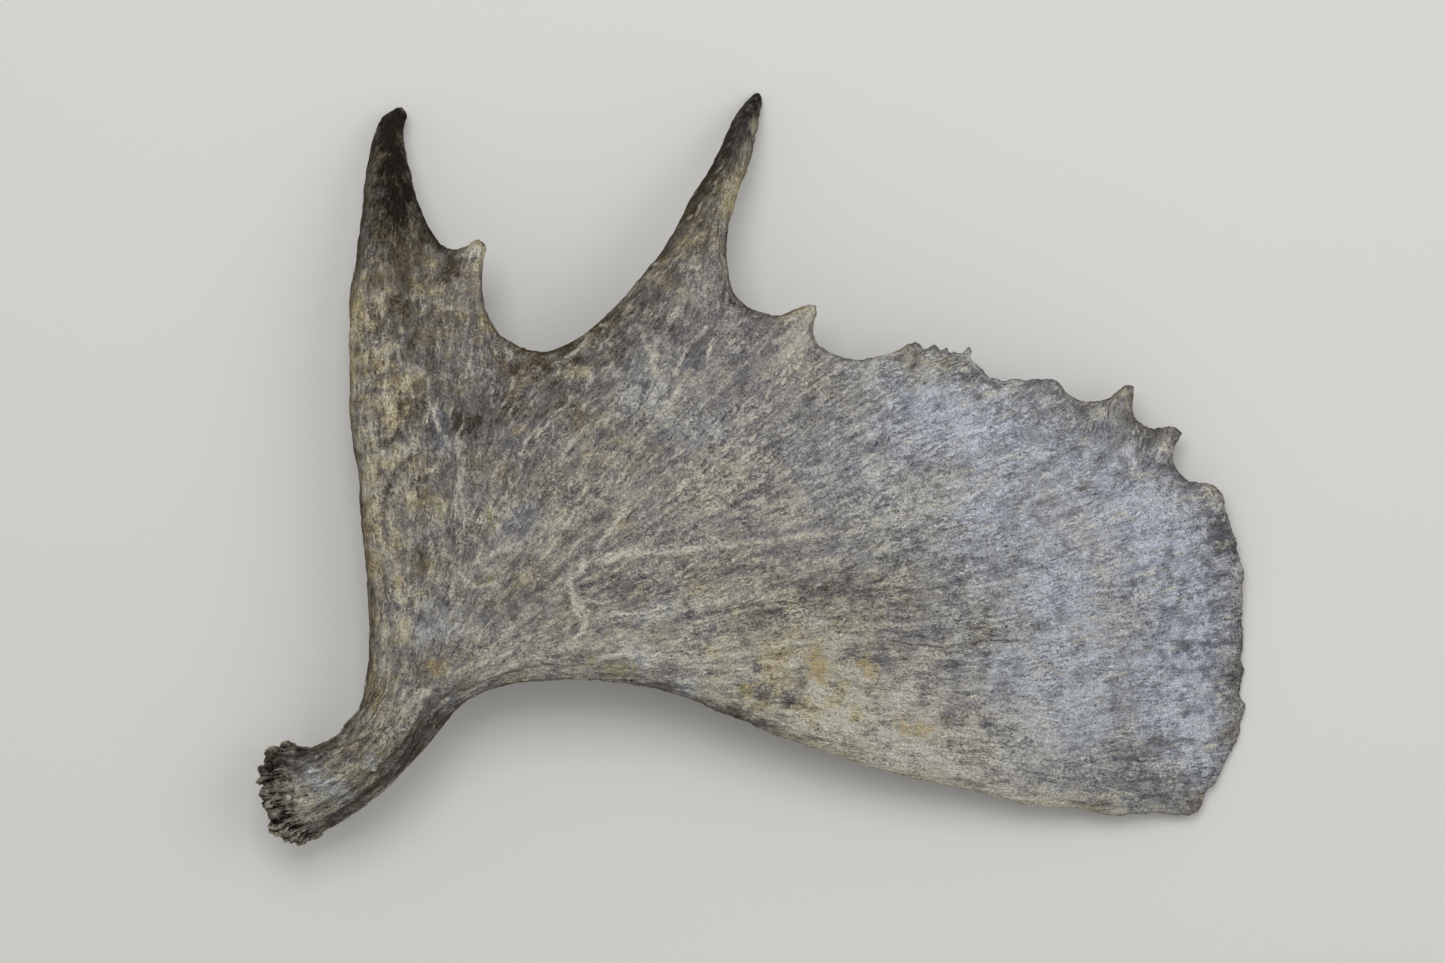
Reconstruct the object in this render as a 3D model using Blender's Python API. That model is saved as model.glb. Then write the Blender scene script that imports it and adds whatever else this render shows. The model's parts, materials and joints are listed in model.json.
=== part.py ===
"""A shed moose antler, lying with its rounded outer face up.

It grew as one bone and forks once: the round beam, with the burr at its foot, parts into a small
brow palm and a broad main palm. Each of the three is an object of its own, cut square at the fork.
+X runs along the main palm, +Y towards the tines and +Z up from the surface it lies on.
Plain numbers are millimetres until a point is placed, where MM turns them into metres.
"""

import math
import random

import bmesh
import bpy
import numpy as np
from mathutils import Matrix, Vector, kdtree

# ---------------------------------------------------------------- driving dimensions

MM = 0.001
CELL = 3.0                  # spacing of the sheets that the palms are drawn from
VOXEL = 2.2                 # cell size of the skin that fuses beam, burr and palms
SMOOTHING = 4               # passes over that skin
TRIANGLES = 9100            # over the whole antler, before the fork is cut
GAP = 0.3                   # between the cut faces at the fork
# Moves the middle of the footprint to the origin and the lowest points onto the surface.
PLACE = Vector((-1.7, -1.0, 0.0))

FAN_FOOT = (-243.0, -130.0)  # where the grain of both palms spreads from
FAN_REACH = 650.0           # from there to the far rim
PLATE_AT_FORK = 7.0         # half the palm's thickness beside the fork
PLATE_AT_RIM = 4.2          # and at its far rim

BURR_CENTRE = (-351.0, -248.0, 37.8)
BURR_HEADING = math.radians(198.6)  # of the seal, seen from above
BURR_DIP = math.radians(26.0)       # how far the seal faces down
BURR_RADIUS = 34.5          # to the middle of the ring
RING_THICKNESS = 5.0        # half, of the ring below its pearls
SEAL_DOME = 7.0             # how far the seal bulges out of the ring
PEARL_COUNT = 27
PEARL = (9.5, 4.8, 5.4)     # half lengths: along the beam, around the ring, outwards

# The outline seen from above. A smooth curve runs through the points of all stretches in turn.
BROW_FRONT = [(-310, -198), (-298, -185), (-293, -168), (-289, -142), (-290, -100), (-292, -70),
              (-296, -36), (-298, -2), (-303, 29), (-304, 66), (-305, 126), (-301, 155),
              (-298, 181), (-295, 216), (-292, 245), (-288, 260), (-284, 270), (-278, 274)]
BROW_TIP = [(-271, 278), (-267, 276), (-265, 270), (-267, 259)]
BROW_BACK = [(-266, 245), (-260, 223), (-252, 198), (-243, 180), (-234, 168), (-225, 165),
             (-217, 167), (-211, 172), (-205, 172), (-201, 167), (-203, 155), (-203, 134),
             (-200, 118), (-193, 104), (-184, 96), (-171, 90)]
BAY = [(-156, 88), (-140, 93), (-122, 104), (-101, 123), (-80, 148), (-62, 173), (-49, 199)]
LONG_TINE = [(-35, 223), (-24, 246), (-13, 269), (-3, 284), (5, 290), (8, 285), (6, 269), (2, 249),
             (-3, 229), (-11, 205), (-17, 184)]
SHORT_POINT = [(-19, 168), (-17, 145), (-13, 132), (-5, 123), (6, 117), (21, 115), (33, 120),
               (42, 123), (48, 122), (48, 113), (46, 104), (49, 94), (57, 88), (70, 83), (84, 82),
               (99, 85), (115, 92)]
CHEWED_EDGE = [(121, 94), (127, 93), (130, 88), (135, 92), (139, 92), (143, 85), (147, 91),
               (152, 85), (157, 90), (163, 92), (166, 84), (170, 79), (175, 74), (181, 68)]
TOP_EDGE = [(203, 67), (230, 67), (237, 59), (249, 52), (261, 51), (274, 55), (286, 63), (292, 62),
            (291, 52), (292, 40), (298, 33), (308, 30), (322, 32), (329, 27), (326, 19), (322, 10),
            (324, 0), (335, -10), (351, -12)]
FAR_RIM = [(360, -20), (365, -36), (371, -56), (375, -69), (379, -79), (379, -91), (377, -100),
           (379, -139), (377, -145), (379, -153), (377, -174), (382, -182), (380, -190),
           (375, -209), (365, -226), (358, -244), (350, -251), (346, -263)]
REAR_EDGE = [(340, -267), (305, -266), (272, -266), (253, -262), (206, -257), (160, -245),
             (105, -232), (68, -221), (27, -205), (19, -203), (-13, -189), (-52, -173),
             (-77, -166), (-97, -162), (-130, -159), (-165, -161), (-190, -165), (-210, -173)]
# The sheets end inside the beam, so this stretch is buried.
ROOT = [(-222, -181), (-233, -195), (-247, -213), (-260, -227), (-271, -235), (-283, -228),
        (-295, -219), (-304, -207)]

# How high the middle of the bone lies: x, y, height.
MIDDLE_HEIGHTS = [
    (-308, -199, 61), (-261, -223, 63), (-289, -217, 62), (-277, -203, 66), (-265, -183, 70),
    (-293, -149, 69), (-243, -138, 77), (-213, -167, 78), (-287, -69, 71), (-227, -69, 83),
    (-292, 28, 70), (-224, 36, 77), (-292, 126, 62), (-243, 111, 74), (-207, 168, 63),
    (-279, 196, 47), (-276, 235, 31), (-272, 273, 12), (-155, 87, 80), (-190, 0, 86),
    (-99, 126, 77), (-47, 149, 73), (-30, 196, 56), (-17, 228, 40), (-5, 260, 24), (4, 287, 2.6),
    (-144, -100, 91), (-114, -25, 95), (-40, 28, 94), (-2, 111, 78), (44, 119, 67), (36, -54, 99),
    (111, 13, 88), (142, 87, 62), (186, -69, 82), (226, 63, 52), (289, 60, 33), (327, 29, 22),
    (279, -70, 56), (360, -21, 20), (378, -132, 5.8), (349, -260, 8), (267, -264, 23),
    (189, -249, 39), (113, -233, 53), (29, -205, 66), (-40, -177, 76), (-144, -160, 84)]

# Thick ribs in the palms, from the fork outwards: x, y, half thickness.
FRONT_RIB = [(-289, -217, 27.2), (-277, -203, 27.5), (-266, -183, 26), (-267, -161, 23),
             (-273, -138, 20), (-279, -107, 17), (-285, -69, 15.5), (-288, -25, 14.5),
             (-290, 28, 14.5), (-290, 88, 15), (-287, 142, 16), (-281, 181, 15.5), (-277, 211, 14),
             (-277, 235, 12), (-277, 255, 9.5), (-273, 271, 7)]
REAR_RIB = [(-260, -187, 25), (-243, -167, 22), (-220, -160, 18), (-193, -150, 14),
            (-159, -144, 12), (-122, -141, 10.5), (-69, -150, 9.5), (-9, -175, 9), (58, -205, 8),
            (135, -230, 7), (220, -250, 6), (330, -258, 5)]
TINE_RIB = [(-247, -138, 20), (-227, -100, 15), (-190, -40, 11), (-144, 21, 9.5), (-99, 77, 11),
            (-66, 125, 14), (-41, 160, 16), (-30, 196, 15.5), (-24, 213, 14.5), (-17, 228, 13.5),
            (-12, 244, 12), (-7, 260, 10.5), (-2, 272, 9), (2, 283, 6)]
BROW_POINT_RIB = [(-251, 36, 7), (-228, 111, 8), (-212, 153, 8.5), (-207, 166, 7)]
SHORT_POINT_RIB = [(10, 69, 6), (36, 104, 8), (43, 116, 6.5)]
TOP_POINT_RIB = [(256, 13, 5), (289, 58, 5.5)]
END_POINT_RIB = [(295, -10, 5), (327, 28, 5)]
UPPER_FAN_RIB = [(-247, -138, 10), (-144, -79, 8.5), (39, -51, 7.5), (186, -33, 5.5)]
LOWER_FAN_RIB = [(-228, -138, 10), (-59, -108, 8), (118, -129, 5.5)]
# Each rib with how far its swelling reaches to the side.
RIBS = [(FRONT_RIB, 27), (REAR_RIB, 18), (TINE_RIB, 27), (BROW_POINT_RIB, 18),
        (SHORT_POINT_RIB, 14), (TOP_POINT_RIB, 14), (END_POINT_RIB, 14), (UPPER_FAN_RIB, 35),
        (LOWER_FAN_RIB, 35)]

# Narrow ridges on the outer face: x, y, how far the face stands up there.
FACE_RIDGES = [
    [(-207, -70, 0.8), (-168, -56, 1.8), (-138, -44, 0.6)],
    [(-135, -82, 1.6), (-121, -72, 2.0), (-95, -66, 1.6), (-28, -60, 1.4), (42, -52, 1.4),
     (94, -44, 1.2), (146, -33, 1.0), (189, -2, 0.4)],
    [(-116, -114, 0.6), (-69, -112, 1.4), (-46, -105, 1.4), (-11, -94, 0.4)],
    [(-137, -84, 1.6), (-132, -105, 2.2), (-126, -122, 0.8)]]
FACE_RIDGE_WIDTH = 4.5
# And the long groove inside the rear edge, with its depth.
REAR_GROOVE = [(-230, -174, 0.8), (-208, -160, 1.6), (-165, -145, 1.4), (-116, -151, 0.8)]
REAR_GROOVE_WIDTH = 6.0

# The beam's axis, from the burr up into the fork: x, y, z, radius.
BEAM_AXIS = [(-351.8, -248.6, 37.8, 31), (-341.3, -247.7, 42.6, 31), (-330.7, -243.8, 47.6, 30),
             (-317.2, -237.4, 53, 28.4), (-303.3, -229.1, 57.6, 27.6), (-289, -217.3, 62, 27),
             (-276.7, -202.6, 66, 27), (-265, -182.6, 70, 25.5), (-252.7, -156.6, 74.5, 20),
             (-241.5, -130.6, 79, 12)]

# Ridges that run up the beam: their places round it, in degrees from its rear side over the top.
BEAM_RIDGES = (-40, 4, 38, 66, 101, 140, 178, 230, 285)
RIDGE_TWIST = 24            # degrees that they turn on their way up
RIDGE_SIZE = 0.15           # ridge radius, as a share of the beam's
RIDGE_SEAT = 0.89           # distance of its middle from the axis, likewise

# The cuts at the fork, each along a line seen from above.
BEAM_CUT = ((-294.6, -166.5), (-220.1, -183.5))
PALM_CUT = ((-155.8, 88.2), (-241.3, -178.3))

BONE = {
    "beam": (0.42, 0.37, 0.29),
    "brow_palm": (0.33, 0.29, 0.23),
    "main_palm": (0.36, 0.34, 0.32),
}


# ---------------------------------------------------------------- the outline

def curve_point(corners, share):
    """The place a given share of the way from the second corner to the third, on a smooth curve."""
    steps = [math.sqrt((b - a).length) for a, b in zip(corners, corners[1:])]
    t0, t1, t2, t3 = 0.0, steps[0], steps[0] + steps[1], sum(steps)
    t = t1 + share * (t2 - t1)
    first = corners[0].lerp(corners[1], (t - t0) / (t1 - t0))
    second = corners[1].lerp(corners[2], (t - t1) / (t2 - t1))
    third = corners[2].lerp(corners[3], (t - t2) / (t3 - t2))
    early = first.lerp(second, (t - t0) / (t2 - t0))
    late = second.lerp(third, (t - t1) / (t3 - t1))
    return early.lerp(late, (t - t1) / (t2 - t1))


def outline():
    """The antler's outline from above, as closely spaced points."""
    corners = [Vector(p) for p in BROW_FRONT + BROW_TIP + BROW_BACK + BAY + LONG_TINE
               + SHORT_POINT + CHEWED_EDGE + TOP_EDGE + FAR_RIM + REAR_EDGE + ROOT]
    count = len(corners)
    loop = []
    for i in range(count):
        four = [corners[(i + k) % count] for k in (-1, 0, 1, 2)]
        pieces = 1 + int((four[2] - four[1]).length / CELL)
        loop += [curve_point(four, k / pieces) for k in range(pieces)]
    return np.array(loop)


def inside(points, loop):
    """Which points lie inside the loop."""
    hit = np.zeros(len(points), bool)
    x, y = points.T
    for (x0, y0), (x1, y1) in zip(loop, np.roll(loop, -1, axis=0)):
        crosses = (y0 > y) != (y1 > y)
        slope = (x1 - x0) / (y1 - y0) if y1 != y0 else 0.0
        hit ^= crosses & (x < x0 + (y - y0) * slope)
    return hit


def nearest_on_loop(points, loop):
    """For each point, the closest place on the loop."""
    tree = kdtree.KDTree(len(loop))
    for i, (x, y) in enumerate(loop):
        tree.insert((x, y, 0), i)
    tree.balance()
    near = np.array([tree.find((x, y, 0))[1] for x, y in points])
    best = loop[near]
    for neighbour in (-1, 1):
        along = loop[(near + neighbour) % len(loop)] - loop[near]
        share = ((points - loop[near]) * along).sum(1) / (along ** 2).sum(1)
        place = loop[near] + along * np.clip(share, 0, 1)[:, None]
        closer = np.linalg.norm(points - place, axis=1) < np.linalg.norm(points - best, axis=1)
        best[closer] = place[closer]
    return best


# ---------------------------------------------------------------- height and thickness laws

def middle_height(points):
    """The height of the bone's middle at each point: a thin bent plate through the anchors."""
    anchors = np.array(MIDDLE_HEIGHTS, float)
    reach = 100.0
    softness = 0.02

    def bend(a, b):
        gap = np.linalg.norm(a[:, None] - b[None], axis=2) / reach
        return gap ** 2 * np.log(gap + 1e-9)

    places, heights = anchors[:, :2], anchors[:, 2]
    count = len(anchors)
    flat = np.hstack([np.ones((count, 1)), places])
    table = np.zeros((count + 3, count + 3))
    table[:count, :count] = bend(places, places) + softness * np.eye(count)
    table[:count, count:] = flat
    table[count:, :count] = flat.T
    weights = np.linalg.solve(table, np.append(heights, (0, 0, 0)))
    return bend(points, places) @ weights[:count] + weights[count] + points @ weights[count + 1:]


def along_rib(points, rib):
    """Each point's distance from the rib's spine, and the rib's value at the closest place."""
    far = np.full(len(points), np.inf)
    value = np.zeros(len(points))
    stations = np.array(rib, float)
    for start, end in zip(stations, stations[1:]):
        way = end[:2] - start[:2]
        share = np.clip((points - start[:2]) @ way / (way @ way), 0, 1)
        gap = np.linalg.norm(points - start[:2] - share[:, None] * way, axis=1)
        closer = gap < far
        far[closer] = gap[closer]
        value[closer] = (start[2] + share * (end[2] - start[2]))[closer]
    return far, value


def half_thickness(points):
    """Half the bone's thickness away from its rim: the plate with its ribs."""
    outward = np.linalg.norm(points - FAN_FOOT, axis=1) / FAN_REACH
    plate = PLATE_AT_FORK + (PLATE_AT_RIM - PLATE_AT_FORK) * np.clip(outward, 0, 1)
    swelling = np.zeros(len(points))
    for rib, spread in RIBS:
        gap, value = along_rib(points, rib)
        swelling += (np.maximum(value - plate, 0) * np.exp(-(gap / spread) ** 2)) ** 3
    return plate + np.cbrt(swelling)


def face_relief(points):
    """How far the outer face stands above its plain form, for its narrow ridges and groove."""
    relief = np.zeros(len(points))
    for ridge in FACE_RIDGES:
        gap, height = along_rib(points, ridge)
        relief = np.maximum(relief, height * np.exp(-(gap / FACE_RIDGE_WIDTH) ** 2))
    gap, depth = along_rib(points, REAR_GROOVE)
    return relief - depth * np.exp(-(gap / REAR_GROOVE_WIDTH) ** 2)


def sample(table, row, column):
    """The table's value between its cells."""
    row = np.clip(row, 0, table.shape[0] - 1.001)
    column = np.clip(column, 0, table.shape[1] - 1.001)
    r, c = row.astype(int), column.astype(int)
    u, v = row - r, column - c
    upper = table[r, c] * (1 - v) + table[r, c + 1] * v
    lower = table[r + 1, c] * (1 - v) + table[r + 1, c + 1] * v
    return upper * (1 - u) + lower * u


def crest_depth(depth, most):
    """The depth met by walking up the slope from each cell: half the width in a narrow tine."""
    down, across = np.gradient(depth, CELL)
    row, column = np.indices(depth.shape).astype(float)
    for _ in range(int(most / CELL)):
        step = sample(down, row, column), sample(across, row, column)
        row += step[0]
        column += step[1]
    return sample(depth, row, column)


# ---------------------------------------------------------------- the pieces

def palm_sheets():
    """Both palms as an upper and a lower sheet that meet at the outline."""
    loop = outline()
    low = loop.min(0) - 2 * CELL
    high = loop.max(0) + 2 * CELL
    columns, rows = ((high - low) / CELL).astype(int)
    spread = Matrix.Diagonal((columns * CELL, rows * CELL, 1, 1))
    place = Matrix.Translation((*(low + high) / 2, 0)) @ spread
    bm = bmesh.new()
    bmesh.ops.create_grid(bm, x_segments=columns, y_segments=rows, size=0.5, matrix=place)

    points = np.array([v.co.xy for v in bm.verts])
    rim = nearest_on_loop(points, loop)
    depth = np.linalg.norm(points - rim, axis=1) * np.where(inside(points, loop), 1, -1)
    full = half_thickness(points)
    rounding = 3.0 + 1.2 * full
    table = depth.reshape(rows + 1, columns + 1)
    rounding = np.minimum(rounding, np.maximum(crest_depth(table, 30).ravel(), 1.5))
    share = np.clip(depth / rounding, 0.05, 1)
    thickness = full * np.sqrt(1 - (1 - share) ** 2)
    middle = middle_height(np.where(depth[:, None] < CELL, rim, points))
    relief = face_relief(points) * np.clip(share, 0, 1)

    bm.verts.ensure_lookup_table()
    tag = bm.verts.layers.int.new("cell")
    for i, vert in enumerate(bm.verts):
        vert[tag] = i
    outside = [v for v in bm.verts if depth[v[tag]] < -CELL / 2]
    bmesh.ops.delete(bm, geom=outside, context="VERTS")
    bmesh.ops.delete(bm, geom=[v for v in bm.verts if not v.link_faces], context="VERTS")

    edge = [v for v in bm.verts if v.is_boundary]
    on_edge = {v[tag] for v in edge}
    for vert in edge:
        vert.co.xy = rim[vert[tag]]
    copy = bmesh.ops.duplicate(bm, geom=bm.verts[:] + bm.edges[:] + bm.faces[:])["geom"]
    below = {v for v in copy if isinstance(v, bmesh.types.BMVert)}
    bmesh.ops.reverse_faces(bm, faces=[f for f in copy if isinstance(f, bmesh.types.BMFace)])
    for vert in bm.verts:
        cell = vert[tag]
        if cell in on_edge:
            vert.co.z = middle[cell]
        elif vert in below:
            vert.co.z = middle[cell] - thickness[cell]
        else:
            vert.co.z = middle[cell] + thickness[cell] + relief[cell]
    bmesh.ops.remove_doubles(bm, verts=[v for v in bm.verts if v[tag] in on_edge], dist=0.001)
    return bm


def tube(name, stations):
    """A tube along a smooth line, with its own radius at each station."""
    curve = bpy.data.curves.new(name, "CURVE")
    curve.dimensions = "3D"
    curve.bevel_depth = 1.0
    curve.bevel_resolution = 8
    curve.resolution_u = 6
    curve.use_fill_caps = True
    spline = curve.splines.new("BEZIER")
    spline.radius_interpolation = "CARDINAL"
    spline.bezier_points.add(len(stations) - 1)
    for point, (x, y, z, radius) in zip(spline.bezier_points, stations):
        point.co = (x, y, z)
        point.radius = radius
        point.handle_left_type = point.handle_right_type = "AUTO"
    return curve


def beam_ridge(angle):
    """The stations of one ridge that starts at this angle at the burr."""
    stations = []
    last = len(BEAM_AXIS) - 1
    for i, (*centre, radius) in enumerate(BEAM_AXIS):
        way = Vector(BEAM_AXIS[min(i + 1, last)][:3]) - Vector(BEAM_AXIS[max(i - 1, 0)][:3])
        turn = math.radians(angle + RIDGE_TWIST * i / last)
        rear = way.cross(Vector((0, 0, 1))).normalized()
        top = rear.cross(way).normalized()
        place = Vector(centre) + (rear * math.cos(turn) + top * math.sin(turn)) * (
            radius * RIDGE_SEAT)
        stations.append((*place, radius * RIDGE_SIZE))
    return stations


def burr_frame():
    """Axes at the burr: X out of the seal, Y and Z across the ring."""
    turn = Matrix.Rotation(BURR_HEADING, 4, "Z") @ Matrix.Rotation(BURR_DIP, 4, "Y")
    return Matrix.Translation(BURR_CENTRE) @ turn


def add_burr(bm):
    """The ring round the beam's foot with its pearls, and the domed seal inside it."""
    frame = burr_frame()
    seal = frame @ Matrix.Diagonal((SEAL_DOME, BURR_RADIUS - 3, BURR_RADIUS - 3, 1))
    bmesh.ops.create_icosphere(bm, subdivisions=4, radius=1.0, matrix=seal)
    rng = random.Random(7)
    for i in range(PEARL_COUNT):
        angle = 2 * math.pi * (i + rng.uniform(-0.25, 0.25)) / PEARL_COUNT
        size = rng.uniform(0.8, 1.2)
        spoke = Matrix.Rotation(angle, 4, "X")
        place = Matrix.Translation((rng.uniform(-4, 3), 0, BURR_RADIUS + rng.uniform(-1, 0.6)))
        half = Matrix.Diagonal((*(length * size for length in PEARL), 1))
        bmesh.ops.create_icosphere(bm, subdivisions=3, radius=1.0,
                                   matrix=frame @ spoke @ place @ half)
        root = Matrix.Translation((-3, 0, BURR_RADIUS - 2))
        lump = Matrix.Diagonal((2.2 * RING_THICKNESS, RING_THICKNESS * 1.3, RING_THICKNESS, 1))
        bmesh.ops.create_icosphere(bm, subdivisions=3, radius=1.0,
                                   matrix=frame @ spoke @ root @ lump)


# ---------------------------------------------------------------- fusing and cutting

def mesh_of(thing):
    """The evaluated mesh of an object, as new mesh data."""
    graph = bpy.context.evaluated_depsgraph_get()
    return bpy.data.meshes.new_from_object(thing.evaluated_get(graph))


def helper(name, data):
    """An object that only serves the building, and isn't part of the antler."""
    thing = bpy.data.objects.new(name, data)
    bpy.context.scene.collection.objects.link(thing)
    thing.hide_render = True
    thing.display_type = "WIRE"
    return thing


def one_skin():
    """Beam, burr and palms fused in one skin, in metres."""
    bm = palm_sheets()
    for stations in [BEAM_AXIS, *map(beam_ridge, BEAM_RIDGES)]:
        strand = helper("strand", tube("strand", stations))
        bm.from_mesh(mesh_of(strand))
        bpy.data.objects.remove(strand)
    add_burr(bm)
    bmesh.ops.translate(bm, vec=PLACE, verts=bm.verts)
    bmesh.ops.scale(bm, vec=(MM, MM, MM), verts=bm.verts)
    raw = bpy.data.meshes.new("raw")
    bm.to_mesh(raw)
    bm.free()

    skin = helper("skin", raw)
    fuse = skin.modifiers.new("fuse", "REMESH")
    fuse.mode = "VOXEL"
    fuse.voxel_size = VOXEL * MM
    even = skin.modifiers.new("even", "SMOOTH")
    even.factor = 0.5
    even.iterations = SMOOTHING
    fused = mesh_of(skin)
    skin.modifiers.clear()
    skin.data = fused
    thin = skin.modifiers.new("thin", "DECIMATE")
    thin.ratio = TRIANGLES / sum(len(p.vertices) - 2 for p in fused.polygons)
    thin.use_collapse_triangulate = True
    thinned = mesh_of(skin)
    bpy.data.objects.remove(skin)
    return thinned


def keep_side(bm, line, side):
    """Cuts the mesh upright along a line seen from above, and keeps its left or right side."""
    start, end = ((Vector((*p, 0)) + PLACE) * MM for p in line)
    normal = (end - start).cross(Vector((0, 0, 1))).normalized() * side
    geometry = bm.verts[:] + bm.edges[:] + bm.faces[:]
    bmesh.ops.bisect_plane(bm, geom=geometry, plane_co=start + normal * GAP * MM / 2,
                           plane_no=normal, clear_inner=True, dist=1e-6)
    bmesh.ops.holes_fill(bm, edges=[e for e in bm.edges if e.is_boundary])


def piece(name, skin, cuts):
    """One part of the antler: the whole skin less what lies beyond its cuts."""
    bm = bmesh.new()
    bm.from_mesh(skin)
    for line, side in cuts:
        keep_side(bm, line, side)
    bmesh.ops.triangulate(bm, faces=bm.faces[:])
    bmesh.ops.recalc_face_normals(bm, faces=bm.faces[:])
    mesh = bpy.data.meshes.new(name)
    bm.to_mesh(mesh)
    bm.free()
    mesh.shade_smooth()
    mesh.set_sharp_from_angle(angle=math.radians(60))
    mesh.materials.append(bone(name))
    thing = bpy.data.objects.new(name, mesh)
    bpy.context.scene.collection.objects.link(thing)


def bone(name):
    """The bone's plain colour on one part."""
    material = bpy.data.materials.new(name + "_bone")
    material.use_nodes = True
    shader = material.node_tree.nodes["Principled BSDF"]
    shader.inputs["Base Color"].default_value = (*BONE[name], 1)
    shader.inputs["Roughness"].default_value = 0.75
    shader.inputs["Metallic"].default_value = 0.0
    return material


def main():
    for thing in list(bpy.data.objects):
        bpy.data.objects.remove(thing)
    skin = one_skin()
    piece("beam", skin, [(BEAM_CUT, 1)])
    piece("brow_palm", skin, [(BEAM_CUT, -1), (PALM_CUT, 1)])
    piece("main_palm", skin, [(BEAM_CUT, -1), (PALM_CUT, -1)])


main()
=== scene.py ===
"""A shed moose antler on a pale studio floor, lying with its rounded outer face up.

One skin is grown over the palms, the beam and the burr. Its relief, grain, stains and painted
shade are worked out on that skin, and it is then parted at the fork into the three pieces that
stand for the solids. Plain numbers are millimetres in the antler's own layout, until place()
turns them into metres in the frame.
"""

import json
import math
import random

import bmesh
import bpy
import numpy as np
from bpy.props import FloatProperty, FloatVectorProperty, IntProperty, PointerProperty
from mathutils import Matrix, Vector, kdtree

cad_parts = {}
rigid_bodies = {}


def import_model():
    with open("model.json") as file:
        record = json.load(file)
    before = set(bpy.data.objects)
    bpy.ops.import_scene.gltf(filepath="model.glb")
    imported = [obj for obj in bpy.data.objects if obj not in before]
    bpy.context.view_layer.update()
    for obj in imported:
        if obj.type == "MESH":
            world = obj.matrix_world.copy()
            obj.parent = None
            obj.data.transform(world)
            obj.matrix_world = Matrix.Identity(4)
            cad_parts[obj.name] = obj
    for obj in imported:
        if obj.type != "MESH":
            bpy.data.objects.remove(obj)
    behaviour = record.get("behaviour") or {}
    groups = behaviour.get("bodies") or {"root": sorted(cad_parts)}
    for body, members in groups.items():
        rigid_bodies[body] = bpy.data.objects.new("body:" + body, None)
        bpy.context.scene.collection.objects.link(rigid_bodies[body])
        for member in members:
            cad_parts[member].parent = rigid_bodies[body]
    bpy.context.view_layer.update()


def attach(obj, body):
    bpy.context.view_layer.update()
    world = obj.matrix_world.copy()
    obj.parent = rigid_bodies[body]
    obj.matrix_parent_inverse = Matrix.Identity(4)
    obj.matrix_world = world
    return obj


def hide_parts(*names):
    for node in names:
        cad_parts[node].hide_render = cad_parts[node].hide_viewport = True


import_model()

bl_info = {
    "name": "Moose antler",
    "version": (1, 0, 0),
    "blender": (4, 5, 0),
    "location": "3D View > Sidebar > Antler",
    "description": "Builds a shed moose antler around its packed solids, with a pale studio",
    "category": "Object",
}

# ---------------------------------------------------------------- the antler's form

MM = 0.001
PLACE = np.array([-1.7, -1.0, 0.0])   # the solids' own shift onto the frame
FLOOR_LEVEL = -0.0002

# What the photograph spans at the height that the outline was traced for, in metres.
TRACED_HEIGHT = 0.045
PHOTO_SPAN = 1445 * 0.0007606
PHOTO_CENTRE = (-0.0241, -0.0116)

# The plain plate of the palms: half its thickness falls off outwards from the fan's foot.
FAN_FOOT = (-243.0, -130.0)
FAN_REACH = 650.0
PLATE_AT_FORK = 7.0
PLATE_AT_RIM = 4.2
# The rim is rounded over this width, and over this many times the half thickness besides.
RIM_WIDTH = 3.0
RIM_WIDTH_PER_THICKNESS = 1.2
TINE_WIDTH_LEAST = 1.5
RIM_BLUNTNESS = 0.05

BURR_CENTRE = (-351.0, -248.0, 37.8)
BURR_HEADING = math.radians(198.6)
BURR_DIP = math.radians(26.0)
BURR_RADIUS = 34.5
BURR_NEAR = 22.0   # fins stand outside this radius and this close to the ring
SEAL_DOME = 7.0

# The outline seen from above, in stretches, each with how ragged its edge is.
BROW_FRONT = [(-310, -198), (-298, -185), (-293, -168), (-289, -142), (-290, -100), (-292, -70),
              (-296, -36), (-298, -2), (-303, 29), (-304, 66), (-305, 126), (-301, 155),
              (-298, 181), (-295, 216), (-292, 245), (-288, 260), (-284, 270), (-278, 274)]
BROW_TIP = [(-271, 278), (-267, 276), (-265, 270), (-267, 259)]
BROW_BACK = [(-266, 245), (-260, 223), (-252, 198), (-243, 180), (-234, 168), (-225, 165),
             (-217, 167), (-211, 172), (-205, 172), (-201, 167), (-203, 155), (-203, 134),
             (-200, 118), (-193, 104), (-184, 96), (-171, 90)]
BAY = [(-156, 88), (-140, 93), (-122, 104), (-101, 123), (-80, 148), (-62, 173), (-49, 199)]
LONG_TINE = [(-35, 223), (-24, 246), (-13, 269), (-3, 284), (5, 290), (8, 285), (6, 269), (2, 249),
             (-3, 229), (-11, 205), (-17, 184)]
SHORT_POINT = [(-19, 168), (-17, 145), (-13, 132), (-5, 123), (6, 117), (21, 115), (33, 120),
               (42, 123), (48, 122), (48, 113), (46, 104), (49, 94), (57, 88), (70, 83), (84, 82),
               (99, 85)]
CHEWED_EDGE = [(111, 89), (115, 92), (120, 94), (125, 94), (128, 92), (130, 88), (132, 90),
               (135, 92), (138, 94), (141, 91), (142, 87), (144, 89), (146, 92), (148, 92),
               (150, 86), (152, 89), (154, 90), (156, 86), (158, 89), (160, 87), (163, 92),
               (165, 92), (167, 88), (166, 83), (169, 81), (172, 77), (176, 73), (179, 69)]
TOP_EDGE = [(185, 68), (190, 66), (195, 68), (203, 67), (230, 67), (237, 59), (249, 52), (261, 51),
            (274, 55), (286, 63), (292, 62), (291, 52), (292, 40), (298, 33), (308, 30), (322, 32),
            (329, 27), (326, 19), (322, 10), (324, 0), (335, -10), (351, -12)]
FAR_RIM = [(360, -20), (365, -36), (371, -56), (375, -69), (379, -79), (379, -91), (377, -100),
           (379, -139), (377, -145), (379, -153), (377, -174), (382, -182), (380, -190),
           (375, -209), (365, -226), (358, -244), (350, -251), (346, -263)]
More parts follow.
